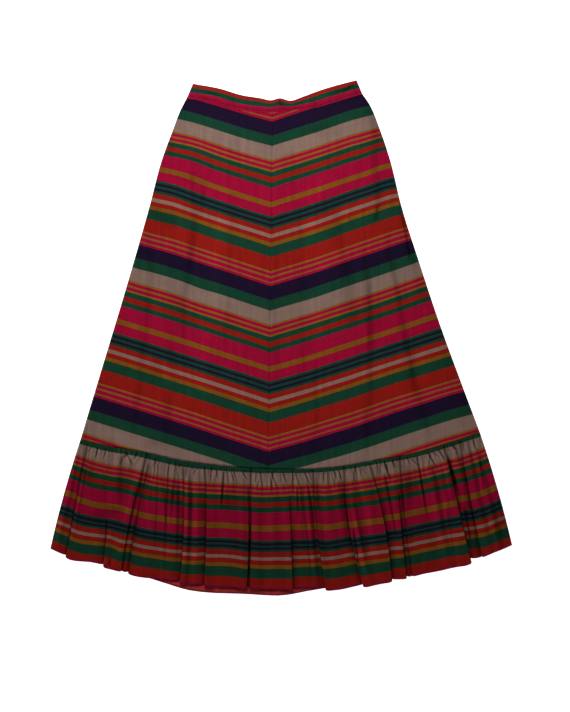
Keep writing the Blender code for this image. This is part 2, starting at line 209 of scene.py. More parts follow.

# Soft dips of the front, in the panels and in the ruffle, each also darkened with painted shade
Dip = namedtuple("Dip", "x y reach_x reach_y depth")
DIPS = [
    Dip(-203, 66, 10, 30, 0.6),
    Dip(-231, -154, 12, 30, 0.5),
    Dip(-263, -74, 14, 30, 0.5),
    Dip(-143, 36, 14, 22, 0.5),
    Dip(87, 256, 18, 30, 0.6),
    Dip(-250, 250, 16, 13, 1.0),
    Dip(-225, 232, 15, 15, 1.3),
    Dip(75, 418, 40, 14, 0.6),
    Dip(-247, -74, 8, 30, 0.8),
    Dip(-256, -210, 16, 10, 1.3),
    Dip(-185, 316, 24, 14, 0.6),
    Dip(-321, -294, 11, 28, 1.5),
    Dip(-217, -318, 14, 28, 1.5),
    Dip(-111, -322, 14, 26, 1.4),
    Dip(39, -324, 10, 28, 1.4),
    Dip(254, -298, 12, 26, 1.7),
    Dip(-368, -360, 16, 9, 1.3),
    Dip(-340, -346, 18, 10, 1.5),
    Dip(-345, -420, 12, 20, 0.8),
    Dip(438, -372, 18, 50, 1.5),
    Dip(-389, -274, 18, 14, 1.1),
    Dip(70, -318, 12, 26, 0.9),
    Dip(127, -314, 10, 26, 0.9),
    Dip(317, -300, 12, 26, 0.8),
]

# Folds of the front ruffle, as the solid has them, and a small one at the hem, second from the right side.
# Seam and hem are the x of a fold's line there, and bow is how far its middle lies to +X.
# The side named by over, +1 for +X, lies on top. The cloth on the +X side lies lower at the hem by the step,
# and the fold forms from the share of the ruffle's depth at start.
Fold = namedtuple("Fold", "seam hem bow lap rise over step start")
FRONT_FOLDS = [
    Fold(-387, -431, 0, 8, 4.0, 1, 4, 0.10),
    Fold(-338, -356, 0, 7, 3.6, 1, 5, 0.68),
    Fold(-268, -320, -5, 9, 5.5, -1, 0, 0.00),
    Fold(-260, -306, -3, 9, 5.0, 1, 4, 0.14),
    Fold(-198, -204, 6, 8, 4.6, 1, 5, 0.10),
    Fold(-154, -155, 4, 8, 4.8, 1, 5, 0.08),
    Fold(-67, -69, 3, 6, 5.0, -1, -2, 0.22),
    Fold(-62, -64, 2, 7, 5.0, 1, 3, 0.02),
    Fold(15, 23, 0, 5, 3.5, -1, -4, 0.30),
    Fold(63, 88, -4, 10, 5.5, 1, 6, 0.02),
    Fold(125, 163, -9, 10, 5.5, 1, 4, 0.02),
    Fold(175, 221, 7, 7, 4.5, -1, -5, 0.08),
    Fold(231, 250, -2, 5, 3.6, -1, -6, 0.35),
    Fold(236, 261, -2, 5, 3.6, 1, 0, 0.05),
    Fold(324, 379, 0, 14, 7.5, -1, -9, 0.00),
    Fold(356, 400, -1, 8, 6.0, 1, -1, 0.02),
]
# The share of the ruffle's depth over which a fold forms
FOLD_GROWTH = 0.35
FOLD_RELAX = 18.0
FOLD_TURN = 1.0
TURN_STEPS = 6
# Where a fold hasn't formed yet, it is a crease of this depth and half width
UNFORMED_DEPTH = 1.8
UNFORMED_REACH = 3.0
# The crease begins this share of the depth before its fold
CREASE_AHEAD = 0.08
SIDE_BOW = -3.0
HEM_SINK = 0.9
HEM_CORNER = 2.2

# Creases of the front ruffle, each from a place near the seam to its foot. A place is an x and a share of the
# ruffle's depth; depth and width are how deep the crease is and its half width.
Crease = namedtuple("Crease", "x share foot_x foot_share depth width")
LONG_CREASES = [
    Crease(-340, 0.92, -352, 1.00, 1.6, 5.0),
    Crease(-226, 0.02, -236, 0.97, 1.0, 4.6),
    Crease(-115, 0.04, -121, 0.36, 1.8, 2.6),
    Crease(-176, 0.02, -180, 0.40, 0.8, 4.0),
    Crease(272, 0.05, 292, 0.56, 1.6, 2.2),
    Crease(396, 0.22, 409, 0.62, 1.2, 3.5),
    Crease(-247, 0.05, -253, 0.80, 0.6, 3.6),
    Crease(-212, 0.03, -222, 0.52, 0.9, 2.2),
    Crease(-206, 0.05, -209, 0.90, 0.6, 3.4),
    Crease(-236, 0.25, -228, 0.62, 0.6, 6.0),
    Crease(334, 0.22, 352, 0.60, 0.9, 7.0),
    Crease(-20, 0.06, -24, 0.30, 0.9, 3.0),
    Crease(48, 0.40, 60, 0.95, 0.8, 4.5),
    Crease(145, 0.30, 175, 0.95, 0.8, 4.0),
    Crease(206, 0.12, 232, 0.70, 1.0, 3.0),
    Crease(-290, 0.30, -312, 0.75, 0.9, 3.5),
    Crease(-390, 0.20, -412, 0.80, 0.8, 4.0),
    Crease(330, 0.50, 348, 0.98, 0.9, 4.5),
    Crease(326, 0.02, 359, 0.50, 1.5, 3.0),
    Crease(239, 0.14, 245, 0.46, 1.2, 2.2),
    Crease(143, 0.52, 158, 0.92, 1.2, 3.0),
    Crease(-271, 0.04, -291, 0.46, 1.4, 2.4),
    Crease(31, 0.16, 33, 0.40, 1.1, 2.4),
    Crease(367, 0.58, 379, 0.88, 1.2, 3.0),
]
SHORT_CREASES = [
    Crease(-367, 0.02, -372, 0.13, 1.7, 1.5),
    Crease(-350, 0.02, -356, 0.11, 1.4, 1.3),
    Crease(-335, 0.02, -341, 0.16, 1.5, 1.4),
    Crease(-309, 0.03, -317, 0.08, 1.7, 1.2),
    Crease(-309, 0.03, -298, 0.12, 1.7, 1.3),
    Crease(-271, 0.02, -279, 0.14, 1.4, 1.5),
    Crease(-252, 0.03, -257, 0.11, 1.2, 1.3),
    Crease(-252, 0.03, -247, 0.11, 1.2, 1.3),
    Crease(-211, 0.02, -208, 0.15, 1.2, 1.4),
    Crease(-203, 0.02, -203, 0.10, 1.2, 1.3),
    Crease(-140, 0.02, -143, 0.15, 1.4, 1.4),
    Crease(-128, 0.04, -132, 0.13, 1.0, 1.3),
    Crease(-109, 0.03, -106, 0.15, 1.4, 1.4),
    Crease(-102, 0.03, -94, 0.13, 1.5, 1.3),
    Crease(-78, 0.03, -69, 0.10, 1.4, 1.3),
    Crease(-59, 0.03, -63, 0.10, 1.2, 1.3),
    Crease(-42, 0.03, -38, 0.17, 1.5, 1.5),
    Crease(-44, 0.09, -50, 0.16, 1.0, 1.3),
    Crease(-24, 0.03, -20, 0.16, 1.4, 1.4),
    Crease(-20, 0.03, -8, 0.16, 1.7, 1.3),
    Crease(2, 0.02, 12, 0.13, 1.4, 1.3),
    Crease(25, 0.04, 24, 0.10, 1.2, 1.4),
    Crease(28, 0.03, 38, 0.16, 1.5, 1.3),
    Crease(46, 0.03, 63, 0.17, 1.7, 1.3),
    Crease(84, 0.03, 84, 0.13, 1.4, 1.4),
    Crease(103, 0.02, 111, 0.10, 1.4, 1.3),
    Crease(113, 0.02, 122, 0.13, 1.5, 1.4),
    Crease(121, 0.02, 129, 0.09, 1.7, 1.3),
    Crease(147, 0.02, 151, 0.13, 1.4, 1.4),
    Crease(161, 0.04, 169, 0.10, 1.0, 1.2),
    Crease(204, 0.02, 220, 0.19, 1.7, 1.4),
    Crease(222, 0.02, 227, 0.09, 1.2, 1.2),
    Crease(271, 0.02, 268, 0.09, 1.0, 1.2),
    Crease(293, 0.02, 312, 0.18, 1.7, 1.6),
    Crease(300, 0.02, 317, 0.09, 1.4, 1.2),
    Crease(313, 0.02, 328, 0.13, 1.7, 1.3),
    Crease(342, 0.02, 347, 0.07, 1.0, 1.2),
    Crease(361, 0.02, 364, 0.11, 1.4, 1.3),
    Crease(382, 0.02, 387, 0.12, 1.5, 1.3),
    Crease(394, 0.02, 399, 0.10, 1.2, 1.3),
]
SMALL_CREASES = 95
CREASE_SEED = 7

# The gathered header, its knots and the gathers under it
HEADER_DEPTH = 8.6
KNOT_PITCH = 5.2
KNOT_RISE = 1.9
KNOT_JAG = 1.3
GATHER_PITCH = 12.5
GATHER_RISE = 0.7
GATHER_END = 0.42

# Meshes: free columns of the ruffle are this far apart, and its rows crowd towards the gathers
COLUMN_PITCH = 1.05
HEADER_ROWS = 5
GATHER_ROWS = 13
LOWER_ROWS = 20
PANEL_COLUMNS = 121
PANEL_ROWS = 181
BAND_COLUMNS = 111
BAND_ROWS = 22
BACK_COLUMNS = 541
BACK_ROWS = 25
BACK_FOLD_EVERY = 36
BACK_FOLD_RISE = 1.5

# Yarn colours of the cloth
YARN = {
    "navy": "#261735",
    "green": "#1D4D38",
    "beige": "#A28376",
    "mustard": "#9A611C",
    "fine mustard": "#A36A23",
    "pink": "#BB113F",
    "red": "#B0221A",
    "light": "#A68273",
    "deep pink": "#A80F4A",
}
# The inside face of the hem is paler, and its yarns are paler still as painted light on the back hem, which
# the front hem shades
INSIDE_YARN_WITH_PAINTED_LIGHT = {**YARN, "red": "#D6463A", "deep pink": "#B03050"}

# Stripes of the cloth in the order that they are woven, with their widths
Stripe = namedtuple("Stripe", "yarn width")
PANEL_STRIPES = [
    Stripe("navy", 26.0),
    Stripe("green", 20.2),
    Stripe("beige", 26.4),
    Stripe("fine mustard", 3.6),
    Stripe("pink", 6.2),
    Stripe("fine mustard", 3.4),
    Stripe("pink", 6.6),
    Stripe("fine mustard", 3.5),
    Stripe("green", 10.2),
    Stripe("red", 9.4),
    Stripe("green", 10.0),
    Stripe("pink", 26.0),
    Stripe("mustard", 10.3),
    Stripe("pink", 18.9),
    Stripe("green", 4.4),
    Stripe("navy", 5.2),
    Stripe("green", 4.3),
    Stripe("navy", 5.1),
    Stripe("green", 4.3),
    Stripe("red", 10.2),
    Stripe("light", 6.9),
    Stripe("red", 9.3),
    Stripe("mustard", 7.2),
    Stripe("green", 19.6),
    Stripe("red", 26.8),
    Stripe("fine mustard", 3.1),
    Stripe("pink", 7.1),
    Stripe("fine mustard", 3.1),
    Stripe("pink", 7.1),
    Stripe("fine mustard", 3.1),
    Stripe("pink", 5.2),
]
RUFFLE_STRIPES = [
    Stripe("green", HEADER_DEPTH),
    Stripe("beige", 24.6),
    Stripe("fine mustard", 3.6),
    Stripe("pink", 6.2),
    Stripe("fine mustard", 3.3),
    Stripe("pink", 6.6),
    Stripe("fine mustard", 3.4),
    Stripe("green", 10.3),
    Stripe("red", 9.1),
    Stripe("green", 10.3),
    Stripe("pink", 26.0),
    Stripe("mustard", 10.6),
    Stripe("pink", 19.4),
    Stripe("green", 4.4),
    Stripe("navy", 5.0),
    Stripe("green", 4.4),
    Stripe("navy", 4.8),
    Stripe("green", 4.6),
    Stripe("red", 10.0),
    Stripe("light", 7.0),
    Stripe("red", 9.2),
    Stripe("mustard", 7.4),
    Stripe("green", 19.8),
    Stripe("red", 17.2),
    Stripe("deep pink", 3.4),
]
BAND_STRIPES = [
    Stripe("red", 4.6),
    Stripe("green", 8.2),
    Stripe("pink", 11.2),
]

# The bias cut: how far the stripes rise beside the centre seam, 80 to 400 mm off it,
# at three heights of the seam
BIAS_ANGLE = math.radians(17.5)
Rise = namedtuple("Rise", "seam_y at_80 at_160 at_240 at_320 at_400")
RIGHT_RISE = [
    Rise(405, 22.4, 45.2, 64, 82, 100),
    Rise(74, 26.4, 52.6, 77.4, 102, 126),
    Rise(-255, 24.2, 50.6, 76.4, 101.2, 126),
]
LEFT_RISE = [
    Rise(405, 26.2, 51.8, 72, 92, 112),
    Rise(74, 25.2, 51.6, 78.2, 106, 132),
    Rise(-255, 21.4, 46.0, 72.4, 98.0, 122.4),
]
# Where a repeat begins along the centre seam
REPEAT_SEAM_Y = [432.8, 104.2, -227.8]

# Where the cloth lies pulled out of line, so that its stripes rise by an amount around a place
Pull = namedtuple("Pull", "x y reach_x reach_y amount")
PULLS = [
    Pull(-215, 326, 60, 62, 5.5),
    Pull(-163, 96, 30, 50, -2.5),
    Pull(-51, 276, 50, 40, -2.2),
    Pull(67, 146, 60, 90, -2.2),
    Pull(207, 336, 32, 80, 3.2),
    Pull(-107, -234, 60, 36, 2.6),
    Pull(0, -248, 50, 28, 2.0),
    Pull(333, -134, 40, 50, 2.4),
    Pull(75, 420, 45, 40, -1.6),
    Pull(-183, 225, 40, 40, 2.0),
    Pull(-171, 360, 32, 50, 2.2),
    Pull(-217, 245, 26, 60, 2.2),
    Pull(-70, 390, 36, 50, -1.2),
    Pull(50, 380, 60, 50, -1.3),
    Pull(150, 250, 50, 50, 1.2),
    Pull(225, 250, 26, 60, 1.4),
    Pull(193, 362, 20, 30, 1.6),
    Pull(60, 80, 60, 36, -1.3),
    Pull(-283, 150, 22, 36, -1.6),
    Pull(-170, -130, 90, 90, 1.9),
    Pull(85, -140, 50, 80, 1.5),
    Pull(245, -145, 70, 60, 1.7),
]

# How far the ruffle's cloth is set up from where an even ruffle would have it, at five shares of its depth.
# A row stands beside each fold or stretch where the stripes step, in half millimetres.
Setting = namedtuple("Setting", "x at_seam at_beige at_middle at_navy at_hem")
SETTING_SHARES = [0, 0.13, 0.50, 0.78, 1]
RUFFLE_SETTING = [
    Setting(-419, 0.0, 4.0, 2.5, -1.0, -2.0),
    Setting(-392, 0.0, 3.0, 0.0, -4.0, -5.5),
    Setting(-377, 0.0, 1.0, -3.0, -4.0, -5.0),
    Setting(-359, 0.0, -0.5, -3.0, -1.5, -2.5),
    Setting(-345, 0.0, -1.5, 0.0, 3.0, 3.0),
    Setting(-323, 0.0, -0.5, 2.0, -1.0, -1.0),
    Setting(-305, -0.5, 0.0, 0.0, 1.0, 1.0),
    Setting(-262, -1.0, -3.0, -2.0, -0.5, 0.5),
    Setting(-215, -1.5, -3.5, -3.5, -2.5, -2.5),
    Setting(-172, -1.5, -2.5, -3.0, -1.0, -1.0),
    Setting(-119, -0.5, 0.5, 1.0, 2.0, 2.0),
    Setting(-75, 0.0, 2.0, 0.0, 0.0, 0.5),
    Setting(-40, 1.0, 1.0, -1.0, 0.0, 1.0),
    Setting(19, 1.5, 5.0, 3.0, 3.0, 2.5),
    Setting(36, 1.5, 3.5, 1.0, 1.5, 1.5),
    Setting(61, 1.5, 5.0, 2.0, 2.0, 2.0),
    Setting(74, 1.5, 4.5, 5.5, 4.5, 3.0),
    Setting(87, 2.0, 3.0, 2.0, 3.0, 3.5),
    Setting(189, 2.0, 3.5, 2.0, 2.0, 2.0),
    Setting(333, 2.0, 4.5, 3.0, 3.0, 2.5),
    Setting(349, 2.0, 2.5, 3.0, 2.5, 1.5),
    Setting(397, 2.0, 4.0, 0.5, 0.0, -1.0),
    Setting(409, 2.0, 5.0, 1.0, -2.0, -3.5),
    Setting(433, 2.0, 6.5, 3.0, -0.5, -3.0),
]

# How much the folds of the ruffle shade each other, by share of its depth
Gloom = namedtuple("Gloom", "share amount")
RUFFLE_GLOOM = [
    Gloom(0.00, 0.20),
    Gloom(0.12, 0.22),
    Gloom(0.30, 0.26),
    Gloom(0.55, 0.28),
    Gloom(0.75, 0.22),
    Gloom(1.00, 0.16),
]

# Waves of the cloth: a radian takes the length in millimetres, and the phase starts at the shift.
# It wanders to and fro by so many radians, on a slower wave with a length and a shift of its own.
Wave = namedtuple("Wave", "length shift wander slow_length slow_shift", defaults=(0.0, 0.0, 1.0, 0.0))
PANEL_PUCKER_WAVES = [Wave(2.9, 0.0, 1.3, 17.0), Wave(11.0, 0.4)]
STRIPE_WAVES = [Wave(41.0), Wave(57.0)]
BAND_RIPPLE_WAVES = [Wave(3.1), Wave(11.3, 1.0)]
KNOT_WAVE = Wave(KNOT_PITCH / math.pi, 0.0, 0.9, 17.3)
KNOT_STRETCH = Wave(7.7, 2.0)
GATHER_WAVE = Wave(GATHER_PITCH / math.pi, 0.0, 1.1, 43.0)
WIDE_GATHER_WAVE = Wave(1.7 * GATHER_PITCH / math.pi, 0.0, 1.3, 61.0, 1.0)
SWELL_WAVE = Wave(4.3, 0.0, 1.4, 19.0)
SWELL_STRETCH = Wave(27.0, 0.8)
WIDE_SWELL_WAVES = [Wave(9.1, 0.0, 1.2, 31.0), Wave(23.0, 0.8)]
HEM_WAVES = [Wave(13.0), Wave(47.0)]

# Shade beside an edge: how dark it is there, and how far it reaches
Shade = namedtuple("Shade", "amount reach")


def linear(hex_colour):
    """An sRGB hex colour as linear red, green, blue and alpha."""
    parts = [int(hex_colour[i : i + 2], 16) / 255 for i in (1, 3, 5)]
    return [c / 12.92 if c <= 0.04045 else ((c + 0.055) / 1.055) ** 2.4 for c in parts] + [1.0]


def along(spots, shares):
    """Points at these shares of the length of a smooth curve through the spots."""
    spots = np.array(spots, float)
    runs = np.linalg.norm(np.diff(spots, axis=0), axis=1)
    knots = np.concatenate([[0.0], np.cumsum(runs)])
    slopes = np.gradient(spots, knots, axis=0)
    at = np.clip(np.asarray(shares, float), 0, 1) * knots[-1]
    span = np.clip(np.searchsorted(knots, at, side="right") - 1, 0, len(runs) - 1)
    width = runs[span][:, None]
    t = ((at - knots[span]) / runs[span])[:, None]
    start = (1 + 2 * t) * (1 - t) ** 2 * spots[span]
    leave = t * (1 - t) ** 2 * width * slopes[span]
    end = t**2 * (3 - 2 * t) * spots[span + 1]
    arrive = t**2 * (t - 1) * width * slopes[span + 1]
    return start + leave + end + arrive


def height_at(spots, x):
    """The y of the curve through the spots, at each x."""
    fine = along(spots, np.linspace(0, 1, 400))
    return np.interp(x, fine[:, 0], fine[:, 1])


def ease(value):
    """A step from 0 to 1 with soft ends."""
    value = np.clip(value, 0, 1)
    return value * value * (3 - 2 * value)


def bell(distance, reach):
    """1 in the middle, sinking to nothing on both sides from a round top."""
    return np.exp(-((distance / reach) ** 2))


def falling(distance, reach):
    """1 at an edge, sinking away from it, fast at first."""
    return np.exp(-distance / reach)


def oval(spot, x, y):
    """1 at the middle of a dip or a pull, sinking to nothing all round it."""
    return bell(x - spot.x, spot.reach_x) * bell(y - spot.y, spot.reach_y)


def wave_at(wave, place):
    """The height of a wave at each place, from -1 to 1."""
    slow = np.sin(place / wave.slow_length + wave.slow_shift)
    return np.sin(place / wave.length + wave.shift + wave.wander * slow)


def patch(top_line, bottom_line, left, right, rows):
    """A grid of points inside two rows of points that run to +X and two curves that run down."""
    down = np.linspace(0, 1, rows)
    left_line, right_line = along(left, down), along(right, down)
    u = np.linspace(0, 1, len(top_line))[None, :, None]
    v = down[:, None, None]
    ruled = (1 - v) * top_line[None] + v * bottom_line[None]
    swept = (1 - u) * left_line[:, None] + u * right_line[:, None]
    corners = (1 - v) * ((1 - u) * top_line[0] + u * top_line[-1])
    corners = corners + v * ((1 - u) * bottom_line[0] + u * bottom_line[-1])
    return ruled + swept - corners


def centre_x(centre, y):
    """The x of a centre seam at each y."""
    return np.interp(y, [centre[1].y, centre[0].y], [centre[1].x, centre[0].x])


def add_node(tree, kind, settings=None, inputs=None):
    """Adds a node with its settings, and its inputs as values or as links from other sockets."""
    node = tree.nodes.new(kind)
    for name, value in (settings or {}).items():
        setattr(node, name, value)
    for name, value in (inputs or {}).items():
        if isinstance(value, bpy.types.NodeSocket):
            tree.links.new(value, node.inputs[name])
        else:
            node.inputs[name].default_value = value
    return node


# Materials

# Real threads lie about 0.35 mm apart. They are drawn 1.1 mm apart, so that a close view still shows them.
THREAD_PITCH = 1.1
THREAD_DEPTH = 0.2
# A wave texture of scale 1 has this many bands to a unit of length
WAVES_PER_UNIT = math.pi / 10
THREAD_SCALE = WAVES_PER_UNIT / (THREAD_PITCH * METRES)

# Slubs, the thick places in a yarn, run along the stripes and vary its own tone. Slight wrinkles run down the
# skirt:
# they bump the surface, and their noise also darkens the colour as painted shade. Both are noise drawn out to
# these sizes, whose part from low to high spreads over the contrast.
Streaks = namedtuple("Streaks", "size_x size_y detail low high contrast")
SLUBS = Streaks(60.0, 2.6, 2.0, 0.25, 0.75, 0.10)
WRINKLES = Streaks(9.0, 90.0, 3.0, 0.3, 0.7, 0.12)
WRINKLE_DEPTH = 1.2
# How much darker the bottom of a deep crease is, where its sides shade each other
HOLLOW_DARKENS = 0.92


def new_material(name):
    material = bpy.data.materials.new(name)
    material.use_nodes = True
    material.node_tree.nodes.clear()
    return material, material.node_tree


def finish_material(tree, shader):
    add_node(tree, "ShaderNodeOutputMaterial", inputs={"Surface": shader.outputs[0]})


def streak_noise(tree, place, streaks):
    """The noise of slubs or wrinkles, and a factor about 1 for the cloth's colour: the slubs' own tone, or
    the wrinkles' painted shade.
    """
    drawn_out = (1 / (streaks.size_x * METRES), 1 / (streaks.size_y * METRES), 1.0)
    stretched = add_node(tree, "ShaderNodeVectorMath", {"operation": "MULTIPLY"}, {0: place, 1: drawn_out})
    grain = {"Vector": stretched.outputs[0], "Scale": 1.0, "Detail": streaks.detail, "Roughness": 0.6}
    noise = add_node(tree, "ShaderNodeTexNoise", inputs=grain).outputs["Fac"]
    low, high = 1 - streaks.contrast, 1 + streaks.contrast
    span = {"From Min": streaks.low, "From Max": streaks.high, "To Min": low, "To Max": high}
    shade = add_node(tree, "ShaderNodeMapRange", inputs={"Value": noise, **span})
    return noise, shade.outputs[0]


def yarn_bands(tree, share, stripes, yarns):
    """The colour of the stripe that lies at this share of the chart."""
    ramp = add_node(tree, "ShaderNodeValToRGB", inputs={"Fac": share})
    ramp.color_ramp.interpolation = "CONSTANT"
    stops = ramp.color_ramp.elements
    total = sum(stripe.width for stripe in stripes)
    start = 0.0
    for number, stripe in enumerate(stripes):
        stop = stops[0] if number == 0 else stops.new(start / total)
        stop.color = linear(yarns[stripe.yarn])
        start += stripe.width
    stops.remove(stops[-1])
    return ramp.outputs["Color"]


def striped_cotton(name, stripes, repeats, yarns=YARN):
    """Plain-woven cotton, dyed in the yarn.

    It is dull with a faint sheen, has slubs along its stripes, and fine threads.
    """
    material, tree = new_material(name)
    place = add_node(tree, "ShaderNodeUVMap", {"uv_map": "cloth"}).outputs["UV"]
    lie = add_node(tree, "ShaderNodeTexCoord").outputs["Object"]
    axes = add_node(tree, "ShaderNodeSeparateXYZ", inputs={0: place})
    chart = sum(stripe.width for stripe in stripes) * METRES
    share = add_node(tree, "ShaderNodeMath", {"operation": "DIVIDE"}, {0: axes.outputs["Y"], 1: chart})
    if repeats:
        share = add_node(tree, "ShaderNodeMath", {"operation": "FRACT"}, {0: share.outputs[0]})
    yarn = yarn_bands(tree, share.outputs[0], stripes, yarns)

    # Painted shade: the colour is darkened by the shade painted into the mesh as a point attribute, and by
    # the wrinkles' noise
    painted_shade = add_node(tree, "ShaderNodeAttribute", {"attribute_name": "painted_shade"}).outputs["Fac"]
    darkened = {0: painted_shade, 1: -HOLLOW_DARKENS, 2: 1.0}
    shade = add_node(tree, "ShaderNodeMath", {"operation": "MULTIPLY_ADD"}, darkened).outputs[0]
    slub_shade = streak_noise(tree, place, SLUBS)[1]
    wrinkles, wrinkle_painted_shade = streak_noise(tree, lie, WRINKLES)
    for other in (slub_shade, wrinkle_painted_shade):
        shade = add_node(tree, "ShaderNodeMath", {"operation": "MULTIPLY"}, {0: shade, 1: other}).outputs[0]
    colour = add_node(tree, "ShaderNodeVectorMath", {"operation": "SCALE"}, {0: yarn, "Scale": shade})

    weave = 1.0
    for direction in ("X", "Y"):
        bands = {"wave_type": "BANDS", "bands_direction": direction, "wave_profile": "SIN"}
        pitch = {"Vector": place, "Scale": THREAD_SCALE, "Distortion": 0.0}
        threads = add_node(tree, "ShaderNodeTexWave", bands, pitch).outputs["Fac"]
        weave = add_node(tree, "ShaderNodeMath", {"operation": "MULTIPLY"}, {0: weave, 1: threads}).outputs[0]
    raised = {"Strength": 0.35, "Distance": THREAD_DEPTH * METRES, "Height": weave}
    bump = add_node(tree, "ShaderNodeBump", inputs=raised).outputs["Normal"]
    wrinkled = {"Strength": 0.5, "Distance": WRINKLE_DEPTH * METRES, "Height": wrinkles, "Normal": bump}
    bump = add_node(tree, "ShaderNodeBump", inputs=wrinkled).outputs["Normal"]
    look = {"Roughness": 0.85, "Specular IOR Level": 0.04, "Sheen Weight": 0.01, "Sheen Roughness": 0.5}
    patterns = {"Base Color": colour.outputs[0], "Normal": bump}
    finish_material(tree, add_node(tree, "ShaderNodeBsdfPrincipled", inputs={**look, **patterns}))
    return material


def two_shades(tree, pattern, hex_colour, darkest):
    """A pattern from a darker shade of a colour up to the colour itself."""
    tint = linear(hex_colour)
    shades = add_node(tree, "ShaderNodeValToRGB", inputs={"Fac": pattern})
    shades.color_ramp.elements[0].color = [c * darkest for c in tint[:3]] + [1.0]
    shades.color_ramp.elements[1].color = tint
    return shades.outputs["Color"]


def thread(name, hex_colour):
    """Spun polyester thread or nylon coil: smooth and a little glossy, so its top catches the light."""
    material, tree = new_material(name)
    place = add_node(tree, "ShaderNodeTexCoord").outputs["Object"]
    twist = add_node(tree, "ShaderNodeTexNoise", inputs={"Vector": place, "Scale": 900.0, "Detail": 1.0})
    colour = two_shades(tree, twist.outputs["Fac"], hex_colour, 0.7)
    look = {"Base Color": colour, "Roughness": 0.55, "Specular IOR Level": 0.2}
    finish_material(tree, add_node(tree, "ShaderNodeBsdfPrincipled", inputs=look))
    return material


def woven_tape(name, hex_colour):
    """Woven polyester zip tape: a fine herringbone, flat and even."""
    material, tree = new_material(name)
    place = add_node(tree, "ShaderNodeTexCoord").outputs["Object"]
    bands = {"wave_type": "BANDS", "bands_direction": "DIAGONAL"}
    pitch = {"Vector": place, "Scale": THREAD_SCALE, "Distortion": 0.5}
    ribs = add_node(tree, "ShaderNodeTexWave", bands, pitch).outputs["Fac"]
    raised = {"Strength": 0.3, "Distance": THREAD_DEPTH * METRES, "Height": ribs}
    bump = add_node(tree, "ShaderNodeBump", inputs=raised)
    colour = two_shades(tree, ribs, hex_colour, 0.75)
    look = {"Base Color": colour, "Roughness": 0.7, "Normal": bump.outputs["Normal"]}
    finish_material(tree, add_node(tree, "ShaderNodeBsdfPrincipled", inputs=look))
    return material


def lacquered_zinc(name, hex_colour):
    """Die-cast zinc with brass lacquer: a satin metal with faint cloudy wear."""
    material, tree = new_material(name)
    place = add_node(tree, "ShaderNodeTexCoord").outputs["Object"]
    cloudy = {"Vector": place, "Scale": 400.0, "Detail": 3.0}
    wear = add_node(tree, "ShaderNodeTexNoise", inputs=cloudy).outputs["Fac"]
    rough = add_node(tree, "ShaderNodeMapRange", inputs={"Value": wear, "To Min": 0.3, "To Max": 0.5})
    colour = two_shades(tree, wear, hex_colour, 0.8)
    look = {"Base Color": colour, "Metallic": 1.0, "Roughness": rough.outputs[0]}
    finish_material(tree, add_node(tree, "ShaderNodeBsdfPrincipled", inputs=look))
    return material


# Meshes


def put_in_scene(name, data):
    """An object of the scene with this mesh, lamp or camera."""
    item = bpy.data.objects.new(name, data)
    bpy.context.scene.collection.objects.link(item)
    return item


def mesh_piece(name, vertices, faces, material):
    """A mesh from points in millimetres."""
    mesh = bpy.data.meshes.new(name)
    mesh.from_pydata((np.asarray(vertices) * METRES).tolist(), [], faces)
    mesh.materials.append(material)
    mesh.shade_smooth()
    return put_in_scene(name, mesh)


def cloth_piece(name, grid, chart, thickness, material, painted_shade=None):
    """A thin cloth wall around a grid of middle points, with its place on the cloth as a UV map in metres."""
    rows, columns = grid.shape[:2]
    corner = np.arange(rows * columns).reshape(rows, columns)
    faces = np.stack([corner[:-1, :-1], corner[1:, :-1], corner[1:, 1:], corner[:-1, 1:]], axis=-1)
    faces = faces.reshape(-1, 4)
    piece = mesh_piece(name, grid.reshape(-1, 3), faces.tolist(), material)
    places = piece.data.uv_layers.new(name="cloth")
    places.data.foreach_set("uv", (chart.reshape(-1, 2)[faces.ravel()] * METRES).ravel())
    # Painted shade for each point, by which the material darkens the cloth
    if painted_shade is not None:
        depth = piece.data.attributes.new("painted_shade", "FLOAT", "POINT")
        depth.data.foreach_set("value", painted_shade.astype(np.float32).ravel())
    wall = piece.modifiers.new("wall", "SOLIDIFY")
    wall.thickness = thickness * METRES
    wall.offset = 0
    return piece


# Panels

SEAM_DIP = 0.35
SEAM_DIP_REACH = 2.5
PANEL_PUCKER = 0.45
PANEL_PUCKER_REACH = 14.0
# How far a crease of the panels wanders from a straight line, and how steeply it begins and ends
CREASE_WANDER = 3.0
CREASE_ENDS = 3
# How much painted shade a crease or a dip gets for each millimetre of its depth
CREASE_SHADES = 0.22
# Painted shade of the panels beside the centre seam, towards the side seams, and next to the ruffle and waist
# seams
CENTRE_SEAM_SHADE = Shade(0.12, 1.5)
SIDE_SEAM_SHADE = Shade(0.16, 35)
RUFFLE_SEAM_SHADE = Shade(0.35, 1.5)
WAIST_SEAM_SHADE = Shade(0.34, 4.0)
# The painted shade lies between these limits; below 0 it is painted light
DARKEST = 1
LIGHTEST = -0.2
# Distances beside the centre seam at which the rise of the stripes is known, with the last worked out
RISE_STEPS = [0, 80, 160, 240, 320, 400, 480]
# Rounds that settle from which height of the seam a stripe has come
RISE_ROUNDS = 3
STRIPE_WANDER = 0.7


def side_distance(grid):
    """How far each point of the front is from the nearer side seam, along its row."""
    right, left = np.array(RIGHT_SIDE[::-1], float), np.array(LEFT_SIDE[::-1], float)
    right_x = np.interp(grid[..., 1], right[:, 1], right[:, 0])
    left_x = np.interp(grid[..., 1], left[:, 1], left[:, 0])
    return np.maximum(np.minimum(grid[..., 0] - right_x, left_x - grid[..., 0]), 0)


def zip_swell(x, y):
    """How far the front is lifted by the zip and its slider."""
    beside = bell(x - centre_x(BACK_CENTRE, y), SWELL_REACH)
    length = ease((y - (ZIP_TOP - ZIP_LENGTH - SWELL_REACH)) / SWELL_REACH)
    slider = bell(y - ZIP_TOP, SLIDER_REACH)
    return beside * (ZIP_SWELL * length + (SLIDER_SWELL - ZIP_SWELL) * slider)


